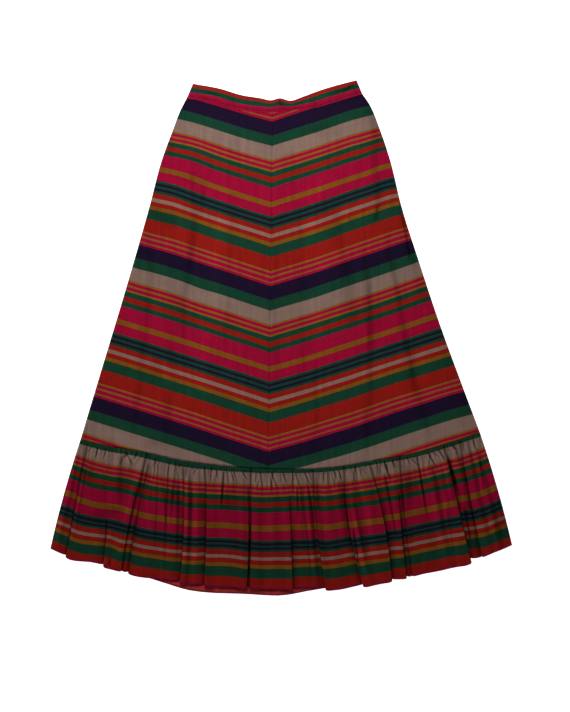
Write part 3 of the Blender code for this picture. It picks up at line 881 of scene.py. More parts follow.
def panel_crease_height(x, y):
    """The sum of the long soft creases of the panels."""
    total = np.zeros_like(x)
    for number, crease in enumerate(PANEL_CREASES):
        share = (crease.top_y - y) / (crease.top_y - crease.bottom_y)
        middle = crease.top_x + (crease.bottom_x - crease.top_x) * np.clip(share, 0, 1)
        middle = middle + CREASE_WANDER * np.sin(y / 31 + 1.7 * number) * np.sin(y / 73 + number)
        ends = ease(0.5 + CREASE_ENDS * share) * ease(0.5 + CREASE_ENDS * (1 - share))
        total += crease.rise * ends * bell(x - middle, crease.reach)
    return total


def dips(x, y):
    """How deep the soft dips are."""
    return sum(dip.depth * oval(dip, x, y) for dip in DIPS)


def front_height(grid):
    """The middle of the front panels above the floor."""
    x, y = grid[..., 0], grid[..., 1]
    above_seam = y - height_at(RUFFLE_SEAM, x)
    inside = 1 - falling(side_distance(grid), EDGE_REACH)
    to_ruffle = falling(above_seam, 2 * EDGE_REACH)
    to_band = falling(height_at(WAIST_SEAM, x) - y, EDGE_REACH)
    loft = PANEL_LOFT + (RUFFLE_LOFT - PANEL_LOFT) * to_ruffle
    creases = (panel_crease_height(x, y) - dips(x, y)) * (1 - to_ruffle) * (1 - to_band)
    height = SIDE_MID + inside * (loft + zip_swell(x, y) + creases) + (CAD_BAND - CAD_CLOTH) * to_band
    fine, stretch = [wave_at(wave, x) for wave in PANEL_PUCKER_WAVES]
    pucker = fine * stretch * falling(np.maximum(above_seam, 0), PANEL_PUCKER_REACH)
    dip = falling(np.abs(x - centre_x(FRONT_CENTRE, y)), SEAM_DIP_REACH)
    return height + PANEL_PUCKER * pucker * inside - SEAM_DIP * dip


def panel_painted_shade(grid):
    """How much darker the front panels are, as painted shade, in the troughs of their creases and dips and
    beside their seams.
    """
    x, y = grid[..., 0], grid[..., 1]
    edges = [
        (CENTRE_SEAM_SHADE, np.abs(x - centre_x(FRONT_CENTRE, y))),
        (SIDE_SEAM_SHADE, side_distance(grid)),
        (RUFFLE_SEAM_SHADE, y - height_at(RUFFLE_SEAM, x)),
        (WAIST_SEAM_SHADE, height_at(WAIST_SEAM, x) - y),
    ]
    troughs = CREASE_SHADES * (dips(x, y) - panel_crease_height(x, y))
    return troughs + sum(shade.amount * falling(distance, shade.reach) for shade, distance in edges)


def stripe_rise(rises, beside, seam_y):
    """How far stripes have risen at a distance beside the centre seam, from a height of the seam."""
    rows = [[0, *rise[1:], 2 * rise.at_400 - rise.at_320] for rise in rises]
    top, middle, bottom = [np.interp(beside, RISE_STEPS, row) for row in rows]
    top_y, middle_y, bottom_y = [rise.seam_y for rise in rises]
    up = np.clip((seam_y - middle_y) / (top_y - middle_y), 0, 1.2)
    down = np.clip((seam_y - bottom_y) / (middle_y - bottom_y), 0, 1)
    return np.where(seam_y > middle_y, middle + (top - middle) * up, bottom + (middle - bottom) * down)


def stripe_place(flat, centre, rises):
    """Where a point of a panel lies on the striped cloth: along the stripes, and across them."""
    x, y = flat[..., 0], flat[..., 1]
    beside = np.abs(x - centre_x(centre, y))
    seam_y = y
    for _ in range(RISE_ROUNDS):
        seam_y = y - stripe_rise(rises, beside, seam_y)
    period = sum(stripe.width for stripe in PANEL_STRIPES)
    first, second, third = REPEAT_SEAM_Y
    above = (first - seam_y) / (first - second)
    below = 1 + (second - seam_y) / (second - third)
    across_wave, down_wave = STRIPE_WAVES
    v = np.where(seam_y > second, above, below) * period
    v = v + STRIPE_WANDER * wave_at(across_wave, x) * wave_at(down_wave, y)
    v = v + sum(pull.amount * oval(pull, x, y) for pull in PULLS)
    u = (x - centre_x(centre, y)) / math.cos(BIAS_ANGLE)
    return np.stack([u, v], axis=-1)


def half_stations(side_x, middle_x, wearer_right, count):
    """The x of each column of a half panel along a seam, from -X to +X."""
    inner = middle_x - GAP / 4 if wearer_right else middle_x + GAP / 4
    ends = (side_x, inner) if wearer_right else (inner, side_x)
    return np.linspace(*ends, count)


def panel_grid(centre, wearer_right):
    """One half of the skirt's body, from the waist seam to the ruffle seam."""
    side = RIGHT_SIDE if wearer_right else LEFT_SIDE
    top_x = half_stations(side[0].x, centre[0].x, wearer_right, PANEL_COLUMNS)
    bottom_x = half_stations(side[-1].x, centre[1].x, wearer_right, PANEL_COLUMNS)
    top = np.column_stack([top_x, height_at(WAIST_SEAM, top_x)])
    bottom = np.column_stack([bottom_x, height_at(RUFFLE_SEAM, bottom_x)])
    if wearer_right:
        return patch(top, bottom, side, (top[-1], bottom[-1]), PANEL_ROWS)
    return patch(top, bottom, (top[0], bottom[0]), side, PANEL_ROWS)


def make_panels(cotton):
    """The half panels of the front and of the back."""
    made = []
    for wearer_right, word, rises in ((True, "right", RIGHT_RISE), (False, "left", LEFT_RISE)):
        flat = panel_grid(FRONT_CENTRE, wearer_right)
        chart = stripe_place(flat, FRONT_CENTRE, rises)
        grid = np.dstack([flat, front_height(flat)])
        # Painted shade of the front panels, kept to its limits
        painted_shade = np.clip(panel_painted_shade(flat), LIGHTEST, DARKEST)
        made.append(cloth_piece(f"front_{word}_cloth", grid, chart, CLOTH, cotton, painted_shade))
        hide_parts(f"front_{word}")
        flat = panel_grid(BACK_CENTRE, wearer_right)
        chart = stripe_place(flat, BACK_CENTRE, rises)
        grid = np.dstack([flat, np.full(flat.shape[:2], BACK_MID)])
        made.append(cloth_piece(f"back_{word}_cloth", grid, chart, CLOTH, cotton))
        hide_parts(f"back_{word}")
    for piece in made:
        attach(piece, "root")
    return made


# Waistband

# The topstitching's place, as a share of the band's depth
StitchPlace = namedtuple("StitchPlace", "x share")
STITCH_LINE = [
    StitchPlace(-190, 0.80),
    StitchPlace(-157, 0.82),
    StitchPlace(-117, 0.85),
    StitchPlace(-77, 0.80),
    StitchPlace(-37, 0.83),
    StitchPlace(37, 0.80),
    StitchPlace(70, 0.87),
    StitchPlace(117, 0.83),
    StitchPlace(160, 0.80),
]
# The trough that the topstitching pulls into the band, with puckers in it
QUILT_REACH = 0.08
QUILT_DEPTH = 0.35
BAND_PUCKER = 0.35
# Painted shade in the topstitching's trough
QUILT_SHADE = 0.08
# The rounding of the front band's top edge, and how far down it goes
BAND_ROUNDING = 0.6
ROUNDING_SHARE = 0.12
BACK_BAND_SHOWS = 2.4
# Painted shade along the back band's top edge, just under the front band's edge, and how far down it reaches
BACK_BAND_SHADE = Shade(0.9, 0.15)
# Dents of the front waistband, and the small fold beside the middle: each goes from a place to its foot
# A dent's depth also darkens the band as painted shade
BAND_DENTS = [
    Crease(-164, 0.26, -122, 0.48, 0.5, 14.0),
    Crease(154, 0.08, 112, 0.50, 0.5, 14.0),
    Crease(-148, 0.20, -132, 0.50, 0.3, 4.0),
    Crease(-156, 0.60, -150, 0.98, 0.3, 5.0),
    Crease(140, 0.12, 124, 0.60, 0.5, 5.0),
    Crease(118, 0.18, 104, 0.55, 0.3, 4.0),
    Crease(-5, 0.10, -1, 0.58, 0.8, 2.6),
    Crease(-1, 0.40, 10, 0.66, 0.4, 2.4),
    Crease(148, 0.55, 152, 0.98, 0.4, 3.0),
    Crease(-100, 0.30, -92, 0.95, 0.3, 4.0),
    Crease(60, 0.35, 70, 0.95, 0.3, 4.0),
]
DENT_END = 0.1


def band_grid(bottom_x, rows):
    """A stretch of the shaped waistband above these columns of the waist seam."""
    share = (bottom_x - WAIST_SEAM[0].x) / (WAIST_SEAM[-1].x - WAIST_SEAM[0].x)
    top_x = WAIST_EDGE[0].x + (WAIST_EDGE[-1].x - WAIST_EDGE[0].x) * share
    top = np.column_stack([top_x, height_at(WAIST_EDGE, top_x)])
    bottom = np.column_stack([bottom_x, height_at(WAIST_SEAM, bottom_x)])
    return patch(top, bottom, (top[0], bottom[0]), (top[-1], bottom[-1]), rows)


def band_chart(grid):
    """The place on the waistband's cloth: along the band, and down from its top edge."""
    rows, columns = grid.shape[:2]
    length = sum(stripe.width for stripe in BAND_STRIPES)
    u = np.broadcast_to(grid[-1, :, 0], (rows, columns))
    v = np.broadcast_to(np.linspace(0, 1, rows)[:, None] * length, (rows, columns))
    return np.stack([u, v], axis=-1)


def stitch_share(x):
    """The place of the topstitching down the band, as a share of its depth."""
    return np.interp(x, *zip(*STITCH_LINE))


def band_dents(x, share):
    """How deep the dents of the front waistband are."""
    total = np.zeros_like(x)
    for dent in BAND_DENTS:
        part = (share - dent.share) / (dent.foot_share - dent.share)
        middle = dent.x + (dent.foot_x - dent.x) * part
        ends = ease((share - dent.share) / DENT_END) * ease((dent.foot_share - share) / DENT_END)
        total += dent.depth * ends * falling(np.abs(x - middle), dent.width)
    return total


def make_waistbands(cotton):
    """The front waistband and the two halves of the back one, and the front one's middle points."""
    bottom_x = np.linspace(RIGHT_SIDE[0].x, LEFT_SIDE[0].x, 2 * BAND_COLUMNS)
    flat = band_grid(bottom_x, BAND_ROWS)
    x = flat[..., 0]
    share = np.linspace(0, 1, BAND_ROWS)[:, None]
    quilted = bell(share - stitch_share(x), QUILT_REACH)
    ripple = wave_at(BAND_RIPPLE_WAVES[0], x) * wave_at(BAND_RIPPLE_WAVES[1], x)
    rounding = BAND_ROUNDING * (1 - ease(share / ROUNDING_SHARE))
    dents = band_dents(x, share)
    depth = quilted * (QUILT_DEPTH + BAND_PUCKER * ripple) + dents + rounding
    # Painted shade of the front band: in the topstitching's trough, varying with its puckers, and in its
    # dents
    painted_shade = np.clip(QUILT_SHADE * quilted * (1 + ripple) + dents, 0, DARKEST)
    grid = np.dstack([flat, FRONT_BAND_MID + zip_swell(x, flat[..., 1]) - depth])
    front = cloth_piece("waistband_front_cloth", grid, band_chart(grid), BAND, cotton, painted_shade)
    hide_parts("waistband_front")
    made = [front]
    for side, wearer_right, word in ((RIGHT_SIDE, True, "right"), (LEFT_SIDE, False, "left")):
        flat = band_grid(half_stations(side[0].x, BACK_CENTRE[0].x, wearer_right, BAND_COLUMNS), BAND_ROWS)
        flat[..., 1] += BACK_BAND_SHOWS * (1 - share)
        back = np.dstack([flat, np.full(flat.shape[:2], BACK_BAND_MID)])
        # Painted shade along the top edge of the back band
        shade = BACK_BAND_SHADE.amount * falling(share, BACK_BAND_SHADE.reach)
        shade = np.broadcast_to(shade, flat.shape[:2])
        piece = cloth_piece(f"waistband_back_{word}_cloth", back, band_chart(back), BAND, cotton, shade)
        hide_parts(f"waistband_back_{word}")
        made.append(piece)
    for piece in made:
        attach(piece, "root")
    return made, grid


# Ruffle

EDGE_DEPTH = RUFFLE_STRIPES[-1].width
RUFFLE_DEPTH = sum(stripe.width for stripe in RUFFLE_STRIPES)
# A fold's lap at the seam, as a share of its lap at the hem
LAP_AT_SEAM = 0.4
# The share of the depth over which the crease before a fold deepens
CREASE_GROWTH = 0.05
UNFORMED_WIDTH = 1.2
# The share of the depth that is gathered so finely that its rows stand close together
GATHERED_SHARE = 0.16
# The last row above the edge stripe is so little above it that the stripe starts sharply
EDGE_STEP = 0.001
# How much painted shade the cloth gets for each millimetre that it lies below its surroundings; on a ridge it
# is painted light
HOLLOW_SHADES = 1.05
HOLLOW_COLUMNS = 7
RIDGE_LIGHT = -0.28
HOLLOW_DARK = 0.82
# The shade beside a fold, close to its edge and further off, and in the crease before it
FOLD_SHADE = Shade(0.55, 1.2)
FOLD_SHADE_GROWTH = 1.8
FAR_FOLD_SHADE = Shade(0.18, 9)
UNFORMED_SHADE = Shade(0.75, 1.6)
# The hem's round corners beside its folds, and its wander
HEM_CORNER_REACH = 3.0
HEM_CORNER_POWER = 8
HEM_WANDER = 1.1
# How much of a dip's depth the ruffle takes: it is looser than the panels
RUFFLE_DIPS = 0.6
# The knots end at this share of the depth, and the jagged edge of the header stripe at this one
KNOTS_END = 0.03
JAG_END = 0.04
# Small creases: how far off the side seams they keep, how far they stray from even places, and how they lean
SMALL_CREASE_MARGIN = 6
SMALL_CREASE_STRAY = 3
SMALL_CREASE_LEAN = 6
SMALL_CREASE_FAN = 0.02
# Their tops and feet as shares of the depth, their depths and their half widths
SMALL_CREASE_TOPS = (0.01, 0.04)
SMALL_CREASE_FEET = (0.05, 0.19)
SHALLOWEST_CREASE = 0.25
SMALL_CREASE_DEPTH = 1.5
SMALL_CREASE_WIDTHS = (0.8, 1.3)
# The back ruffle: its cloth for each millimetre across, and how far its folds stray and reach, in columns
BACK_FULLNESS = 1.35
BACK_FOLD_WANDER = 6
BACK_FOLD_REACH = 2.5
# The row at which its edge stripe starts, as a share of the depth up from the hem
BACK_EDGE_SHARE = 0.014


def ruffle_sides(share):
    """The x of the two side seams at this share of the ruffle's depth."""
    bow = 4 * SIDE_BOW * share * (1 - share)
    right = RUFFLE_SEAM[0].x + (FRONT_HEM[0].x - RUFFLE_SEAM[0].x) * share + bow
    left = RUFFLE_SEAM[-1].x + (FRONT_HEM[-1].x - RUFFLE_SEAM[-1].x) * share - bow
    return right, left


def formed(fold, share):
    """How far a fold has formed at this share of the ruffle's depth, from 0 to 1."""
    return ease((share - fold.start) / FOLD_GROWTH)


def begun(fold, share):
    """How far the crease that a fold grows from has begun, from 0 to 1."""
    return ease((share - fold.start + CREASE_AHEAD) / CREASE_GROWTH)


def full_lap(fold, share):
    """How far a fold that has formed laps over, which is less towards the seam."""
    return fold.lap * (LAP_AT_SEAM + (1 - LAP_AT_SEAM) * share)


def fold_section(fold, share):
    """Sideways offsets and heights across a fold, which begins as a crease and turns over as it forms.

    Where it has formed, the cloth goes out under the lap, back and out again, on round turns.
    """
    turn = np.linspace(-math.pi / 2, math.pi / 2, TURN_STEPS)
    under_x = full_lap(fold, share) - FOLD_TURN + FOLD_TURN * np.cos(turn)
    edge_x = FOLD_TURN - FOLD_TURN * np.cos(turn)
    x = np.concatenate([under_x, edge_x])
    climb = 0.25 * (1 + np.sin(turn))
    z = fold.rise * np.concatenate([climb, 0.5 + climb])
    if fold.over < 0:
        x, z = -x[::-1], z[::-1]
    open_x = np.linspace(-UNFORMED_REACH, UNFORMED_REACH, len(x))
    open_z = -UNFORMED_DEPTH * falling(np.abs(open_x), UNFORMED_WIDTH) * begun(fold, share)
    grown = formed(fold, share)
    return open_x + (x - open_x) * grown, open_z + (z - open_z) * grown


def fold_line(fold, share):
    """The x of a fold's line at this share of the ruffle's depth."""
    return fold.seam + (fold.hem - fold.seam) * share + 4 * fold.bow * share * (1 - share)


def lifted(rise, distance, lap):
    """How high the cloth still lies at this distance from a fold: level over the lap, then sinking."""
    return rise * falling(np.maximum(distance - lap, 0), FOLD_RELAX)


def free_counts(folds):
    """How many free columns lie between each fold and the next."""
    lines = [FRONT_HEM[0].x] + [fold.hem for fold in folds] + [FRONT_HEM[-1].x]
    return [max(4, round((lines[i + 1] - lines[i]) / COLUMN_PITCH)) for i in range(len(lines) - 1)]


def front_ruffle_row(share, counts):
    """One row of the front ruffle: each column's x, rise, drop, and 1 where the cloth lies free."""
    right, left = ruffle_sides(share)
    parts = [np.array([[right], [0.0], [0.0], [1.0]])]
    start_lap = 0.0
    for number, count in enumerate(counts):
        start_x, start_rise, start_drop = parts[-1][:3, -1]
        if number < len(FRONT_FOLDS):
            fold = FRONT_FOLDS[number]
            end_lap = full_lap(fold, share) * formed(fold, share)
            offsets, fold_z = fold_section(fold, share)
            fold_x = fold_line(fold, share) + offsets
            fold_drop = np.linspace(fold.step / 2, -fold.step / 2, len(offsets))
        else:
            end_lap, fold_x, fold_z, fold_drop = 0.0, np.array([left]), np.zeros(1), np.zeros(1)
        part = np.arange(1, count + 1) / (count + 1)
        x = start_x + (fold_x[0] - start_x) * part
        rise = lifted(start_rise, x - start_x, start_lap) + lifted(fold_z[0], fold_x[0] - x, end_lap)
        drop = start_drop + (fold_drop[0] - start_drop) * part
        parts.append(np.array([x, rise, drop, np.ones(count)]))
        parts.append(np.array([fold_x, fold_z, fold_drop, np.zeros(len(fold_x))]))
        start_lap = end_lap
    return np.concatenate(parts, axis=1)


def ruffle_shares():
    """The rows of the ruffle as shares of its depth, close together where it is gathered."""
    header = HEADER_DEPTH / RUFFLE_DEPTH
    edge = 1 - EDGE_DEPTH / RUFFLE_DEPTH
    rows = np.linspace(0, header, HEADER_ROWS, endpoint=False)
    rows = np.append(rows, np.linspace(header, GATHERED_SHARE, GATHER_ROWS, endpoint=False))
    rows = np.append(rows, np.linspace(GATHERED_SHARE, edge - EDGE_STEP, LOWER_ROWS))
    return np.append(rows, [edge, (edge + 1) / 2, 1])


def ruffle_setting(x, share):
    """How far the cloth is set up at each point of the ruffle."""
    table = np.array(RUFFLE_SETTING)
    columns = [np.interp(x, table[:, 0], column) for column in table[:, 1:].T]
    total = columns[0]
    for i in range(len(columns) - 1):
        part = (share - SETTING_SHARES[i]) / (SETTING_SHARES[i + 1] - SETTING_SHARES[i])
        total = total + (columns[i + 1] - columns[i]) * np.clip(part, 0, 1)
    return total


def ruffle_chart(u, x, share, jag):
    """The place on the ruffle's cloth. The edge stripe stays at the hem, whatever the setting above."""
    v = share * RUFFLE_DEPTH + ruffle_setting(x, share) + jag
    edge = RUFFLE_DEPTH - EDGE_DEPTH
    above = np.clip(v, 0.5, edge - 0.1)
    v = np.where(share >= edge / RUFFLE_DEPTH, edge + EDGE_DEPTH / 2, above)
    return np.stack([u, v], axis=-1)


def hollows(relief):
    """How deep each point lies under the cloth within a few columns of it, and less than 0 on a ridge."""
    width = 2 * HOLLOW_COLUMNS + 1
    padded = np.pad(relief, ((0, 0), (HOLLOW_COLUMNS, HOLLOW_COLUMNS)), mode="edge")
    total = np.cumsum(np.pad(padded, ((0, 0), (1, 0))), axis=1)
    return (total[:, width:] - total[:, :-width]) / width - relief


def crease_depth(creases, x, shares):
    """How deep the creases are at each point of the ruffle."""
    total = np.zeros_like(x)
    for crease in creases:
        part = (shares - crease.share) / (crease.foot_share - crease.share)
        middle = crease.x + (crease.foot_x - crease.x) * np.clip(part, 0, 1)
        ends = ease(0.5 + 6 * part) * ease(0.2 + 1.6 * (1 - part))
        total += crease.depth * ends * falling(np.abs(x - middle), crease.width)
    return total


def small_creases():
    """Fine pucker creases that fan out below the header, uneven in place, length and depth."""
    rng = np.random.default_rng(CREASE_SEED)
    first, last = RUFFLE_SEAM[0].x + SMALL_CREASE_MARGIN, RUFFLE_SEAM[-1].x - SMALL_CREASE_MARGIN
    places = np.linspace(first, last, SMALL_CREASES)
    places = places + rng.uniform(-SMALL_CREASE_STRAY, SMALL_CREASE_STRAY, SMALL_CREASES)
    made = []
    for place in places:
        foot_share = rng.uniform(*SMALL_CREASE_FEET)
        foot_x = place + (rng.normal(0, SMALL_CREASE_LEAN) + place * SMALL_CREASE_FAN)
        depth = SHALLOWEST_CREASE + SMALL_CREASE_DEPTH * rng.uniform() ** 2
        share = rng.uniform(*SMALL_CREASE_TOPS)
        made.append(Crease(place, share, foot_x, foot_share, depth, rng.uniform(*SMALL_CREASE_WIDTHS)))
    return made


def knot_wave(u):
    """The small tight knots of the header: 1 on a knot and 0 between two."""
    return np.sqrt(np.abs(wave_at(KNOT_WAVE, u)))


def knots(u, share):
    """The height of the header's knots, just under the seam."""
    ends = 1 - ease((share - KNOTS_END) / 0.02)
    return KNOT_RISE * ends * (0.65 + 0.35 * wave_at(KNOT_STRETCH, u)) * knot_wave(u)


def gathers(u, share):
    """Uneven gathers with narrow valleys, which die out down the ruffle."""
    ends = ease(share / 0.05) * (1 - ease(share / GATHER_END)) ** 1.5
    narrow = np.sqrt(np.abs(wave_at(GATHER_WAVE, u)))
    wide = np.sqrt(np.abs(wave_at(WIDE_GATHER_WAVE, u)))
    return GATHER_RISE * ends * (0.55 * narrow + 0.45 * wide)


def swells(u, share):
    """Low swells between the folds, stronger in some stretches, all the way down."""
    narrow = wave_at(SWELL_WAVE, u) * (0.5 + 0.5 * wave_at(SWELL_STRETCH, u)) ** 2
    wide = wave_at(WIDE_SWELL_WAVES[0], u) * wave_at(WIDE_SWELL_WAVES[1], u)
    return (0.45 * narrow + 0.6 * wide) * ease(share / 0.2) * (1 - 0.6 * ease((share - 0.6) / 0.4))


def hidden_in_folds(x, share):
    """How much a fold shades the cloth beside its edge, on the side that lies lower."""
    total = np.zeros_like(x)
    for fold in FRONT_FOLDS:
        beside = (fold_line(fold, share) - x) * fold.over
        distance = np.abs(beside)
        grown = formed(fold, share)
        under = FOLD_SHADE.amount * falling(distance, FOLD_SHADE.reach + FOLD_SHADE_GROWTH * grown)
        under = under + FAR_FOLD_SHADE.amount * falling(distance, FAR_FOLD_SHADE.reach)
        unformed = UNFORMED_SHADE.amount * falling(distance, UNFORMED_SHADE.reach)
        lower_side = beside > -FOLD_TURN / 2
        shade = under * lower_side * grown + unformed * (1 - grown) * begun(fold, share)
        total = np.maximum(total, shade)
    return total


def hem_corners(x, share):
    """How far the hem turns up beside each fold, so that its corners are round."""
    total = np.zeros_like(x)
    for fold in FRONT_FOLDS:
        beside = np.abs(x - fold_line(fold, share))
        total = np.maximum(total, HEM_CORNER * formed(fold, share) * falling(beside, HEM_CORNER_REACH))
    return total * share**HEM_CORNER_POWER


def make_front_ruffle(cotton):
    shares = ruffle_shares()
    counts = free_counts(FRONT_FOLDS)
    rows = np.array([front_ruffle_row(share, counts) for share in shares])
    x, rise, drop, free = rows[:, 0], rows[:, 1], rows[:, 2], rows[:, 3]
    share = np.broadcast_to(shares[:, None], x.shape)
    steps = np.hypot(np.diff(x[-1]), np.diff(rise[-1]))
    u = np.broadcast_to(np.concatenate([[0], np.cumsum(steps)]), x.shape)

    right, left = ruffle_sides(share)
    inside = 1 - falling(np.minimum(x - right, left - x), EDGE_REACH)
    seam_y, hem_y = height_at(RUFFLE_SEAM, x[0]), height_at(FRONT_HEM, x[-1])
    wander = HEM_WANDER * wave_at(HEM_WAVES[0], u) * wave_at(HEM_WAVES[1], u)
    y = seam_y + (hem_y - seam_y + drop + wander) * share + hem_corners(x, share)
    creases = [*LONG_CREASES, *SHORT_CREASES, *small_creases()]
    relief = knots(u, share) + gathers(u, share) + swells(u, share) - crease_depth(creases, x, share)
    dipped = dips(x, y)
    loft = RUFFLE_LOFT - HEM_SINK * ease((share - 0.7) / 0.3)
    z = SIDE_MID + inside * (loft + (relief - RUFFLE_DIPS * dipped) * free) + rise

    # Painted shade of the ruffle: by depth, in dips, in hollows between creases with painted light on ridges,
    # and beside folds
    gloom = np.interp(share, *zip(*RUFFLE_GLOOM))
    creased = np.clip(HOLLOW_SHADES * hollows(relief), RIDGE_LIGHT, HOLLOW_DARK) * free
    painted_shade = gloom + CREASE_SHADES * dipped + creased + hidden_in_folds(x, share)
    jag = KNOT_JAG * (knot_wave(u) - 0.6) * (1 - ease((share - JAG_END) / JAG_END))
    chart = ruffle_chart(u, x, share, jag)
    grid = np.dstack([x, y, z])
    painted_shade = np.clip(painted_shade, LIGHTEST, DARKEST)
    piece = cloth_piece("ruffle_front_cloth", grid, chart, CLOTH, cotton, painted_shade)
    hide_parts("ruffle_front")
    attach(piece, "root")
    return piece


def make_back_ruffle(cotton):
    """The back of the ruffle rests on the floor: its gathers and folds only rise from it."""
    column = np.arange(BACK_COLUMNS)
    across = column / (BACK_COLUMNS - 1)
    fold_at = BACK_FOLD_EVERY * (0.5 + np.round(column / BACK_FOLD_EVERY - 0.5))
    fold_at = fold_at + np.round(BACK_FOLD_WANDER * np.sin(1.9 * fold_at))
    ridge = bell(column - fold_at, BACK_FOLD_REACH) * (0.8 + 0.2 * np.cos(fold_at))
    main_rows = np.linspace(0, 1 - EDGE_DEPTH / RUFFLE_DEPTH - EDGE_STEP, BACK_ROWS)
    shares = np.append(main_rows, [1 - BACK_EDGE_SHARE, 1])
    share = np.broadcast_to(shares[:, None], (len(shares), BACK_COLUMNS))
    seam_x = RUFFLE_SEAM[0].x + (RUFFLE_SEAM[-1].x - RUFFLE_SEAM[0].x) * across
    hem_x = BACK_HEM[0].x + (BACK_HEM[-1].x - BACK_HEM[0].x) * across
    seam_y, hem_y = height_at(RUFFLE_SEAM, seam_x), height_at(BACK_HEM, hem_x)
    right, left = ruffle_sides(share)
    x = right + (left - right) * across
    y = seam_y + (hem_y - seam_y) * share
    inside = 1 - falling(np.minimum(x - right, left - x), EDGE_REACH)
    gathered = gathers(BACK_FULLNESS * x, share) + knots(BACK_FULLNESS * x, share)
    low = np.maximum(gathered, BACK_FOLD_RISE * ridge * ease(share / 0.5))
    z = BACK_MID + inside**3 * low
    u = np.broadcast_to(BACK_FULLNESS * hem_x, x.shape)
    chart = ruffle_chart(u, x, share, 0.0)
    piece = cloth_piece("ruffle_back_cloth", np.dstack([x, y, z]), chart, CLOTH, cotton)
    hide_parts("ruffle_back")
    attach(piece, "root")
    return piece


# Stitches and zip teeth: small rounded pieces set along a line

STITCH_PITCH = 4.9
# Sizes along the line, across it and upwards. The stitches are larger than real ones,
# so that their dark thread also stands for the painted shade in the stitch holes
STITCH_SIZE = (3.1, 2.5, 0.7)
TOOTH_SIZE = (0.9, 4.0, 1.3)
# A stitch's middle lies this far above the band, and the row stops this many columns short of the side seams
STITCH_PROUD = 0.05
STITCH_MARGIN = 2


def row_tree():
    """A node tree that sets rounded pieces along a line of edges, a spacing apart."""
    tree = bpy.data.node_groups.new("set_along_line", "GeometryNodeTree")
    tree.interface.new_socket("Geometry", in_out="INPUT", socket_type="NodeSocketGeometry")
    for name in ("Spacing", "Along", "Across", "Rise"):
        tree.interface.new_socket(name, in_out="INPUT", socket_type="NodeSocketFloat")
    tree.interface.new_socket("Finish", in_out="INPUT", socket_type="NodeSocketMaterial")
    tree.interface.new_socket("Geometry", in_out="OUTPUT", socket_type="NodeSocketGeometry")
    sizes = add_node(tree, "NodeGroupInput").outputs
    line = add_node(tree, "GeometryNodeMeshToCurve", inputs={"Mesh": sizes["Geometry"]})
    spaced = {"Curve": line.outputs[0], "Length": sizes["Spacing"]}
    points = add_node(tree, "GeometryNodeResampleCurve", {"mode": "LENGTH"}, spaced)
    ball = add_node(tree, "GeometryNodeMeshUVSphere", inputs={"Segments": 8, "Rings": 5, "Radius": 0.5})
    sides = {"X": sizes["Along"], "Y": sizes["Across"], "Z": sizes["Rise"]}
    size = add_node(tree, "ShaderNodeCombineXYZ", inputs=sides)
    stretched = {"Geometry": ball.outputs["Mesh"], "Scale": size.outputs[0]}
    shaped = add_node(tree, "GeometryNodeTransform", inputs=stretched)
    tangent = add_node(tree, "GeometryNodeInputTangent").outputs[0]
    axes = {"axis": "X", "pivot_axis": "Z"}
    turned = add_node(tree, "FunctionNodeAlignRotationToVector", axes, {"Vector": tangent})
    repeated = {"Points": points.outputs[0], "Instance": shaped.outputs[0], "Rotation": turned.outputs[0]}
    placed = add_node(tree, "GeometryNodeInstanceOnPoints", inputs=repeated)
    real = add_node(tree, "GeometryNodeRealizeInstances", inputs={0: placed.outputs[0]})
    smooth = add_node(tree, "GeometryNodeSetShadeSmooth", inputs={0: real.outputs[0]})
    finished = {"Geometry": smooth.outputs[0], "Material": sizes["Finish"]}
    done = add_node(tree, "GeometryNodeSetMaterial", inputs=finished)
    add_node(tree, "NodeGroupOutput", inputs={"Geometry": done.outputs[0]})
    return tree


def set_along(name, tree, line, spacing, size, material):
    """A mesh of small pieces along a line of points in millimetres."""
    edges = [(i, i + 1) for i in range(len(line) - 1)]
    guide_mesh = bpy.data.meshes.new(name + "_line")
    guide_mesh.from_pydata((line * METRES).tolist(), edges, [])
    guide = put_in_scene(name + "_line", guide_mesh)
    maker = guide.modifiers.new("set_along_line", "NODES")
    maker.node_group = tree
    sockets = {item.name: item.identifier for item in tree.interface.items_tree if item.in_out == "INPUT"}
    values = {"Spacing": spacing * METRES, "Finish": material}
    values.update(zip(("Along", "Across", "Rise"), [side * METRES for side in size]))
    for socket, value in values.items():
        maker[sockets[socket]] = value
    graph = bpy.context.evaluated_depsgraph_get()
    mesh = bpy.data.meshes.new_from_object(guide.evaluated_get(graph))
    mesh.name = name
    piece = put_in_scene(name, mesh)
    bpy.data.objects.remove(guide)
    return piece


def make_stitches(tree, band, dark_thread_and_shade):
    """Topstitching along the lower edge of the front waistband, large enough to stand for the painted shade
    in its holes too.
    """
    row = stitch_share(band[-1, :, 0]) * (BAND_ROWS - 1)
    low, column = row.astype(int), np.arange(band.shape[1])
    part = (row - low)[:, None]
    line = band[low, column] * (1 - part) + band[low + 1, column] * part
    line[:, 2] += BAND / 2 + STITCH_PROUD
    line = line[STITCH_MARGIN:-STITCH_MARGIN]
    piece = set_along("waistband_stitches", tree, line, STITCH_PITCH, STITCH_SIZE, dark_thread_and_shade)
    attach(piece, "root")


# Zip

# How far the tapes' long edges lie above the zip's floor, and how much higher the rest of them lies
TAPE_LIFT = 0.35
TAPE_CURL = 0.12
TAPE_CURL_REACH = 1.2
TAPE_COLUMNS = 23
TAPE_ROWS = 111
COIL_LIFT = 0.45
COIL_POINTS = 60
# The slider's plates and pull, upwards: width, room left at each end, corner radius, bottom and top
Plate = namedtuple("Plate", "width end corner bottom top")
SLIDER_PLATES = [
    Plate(5.2, 0.0, 2.0, 0.0, 0.6),
    Plate(1.6, 1.5, 0.7, 0.5, 1.2),
    Plate(5.4, 0.0, 2.2, 1.1, 1.6),
    Plate(1.6, 1.2, 0.7, 1.6, 2.2),
]
PULL_PLATE = Plate(3.2, 1.0, 1.4, 0.6, 1.4)
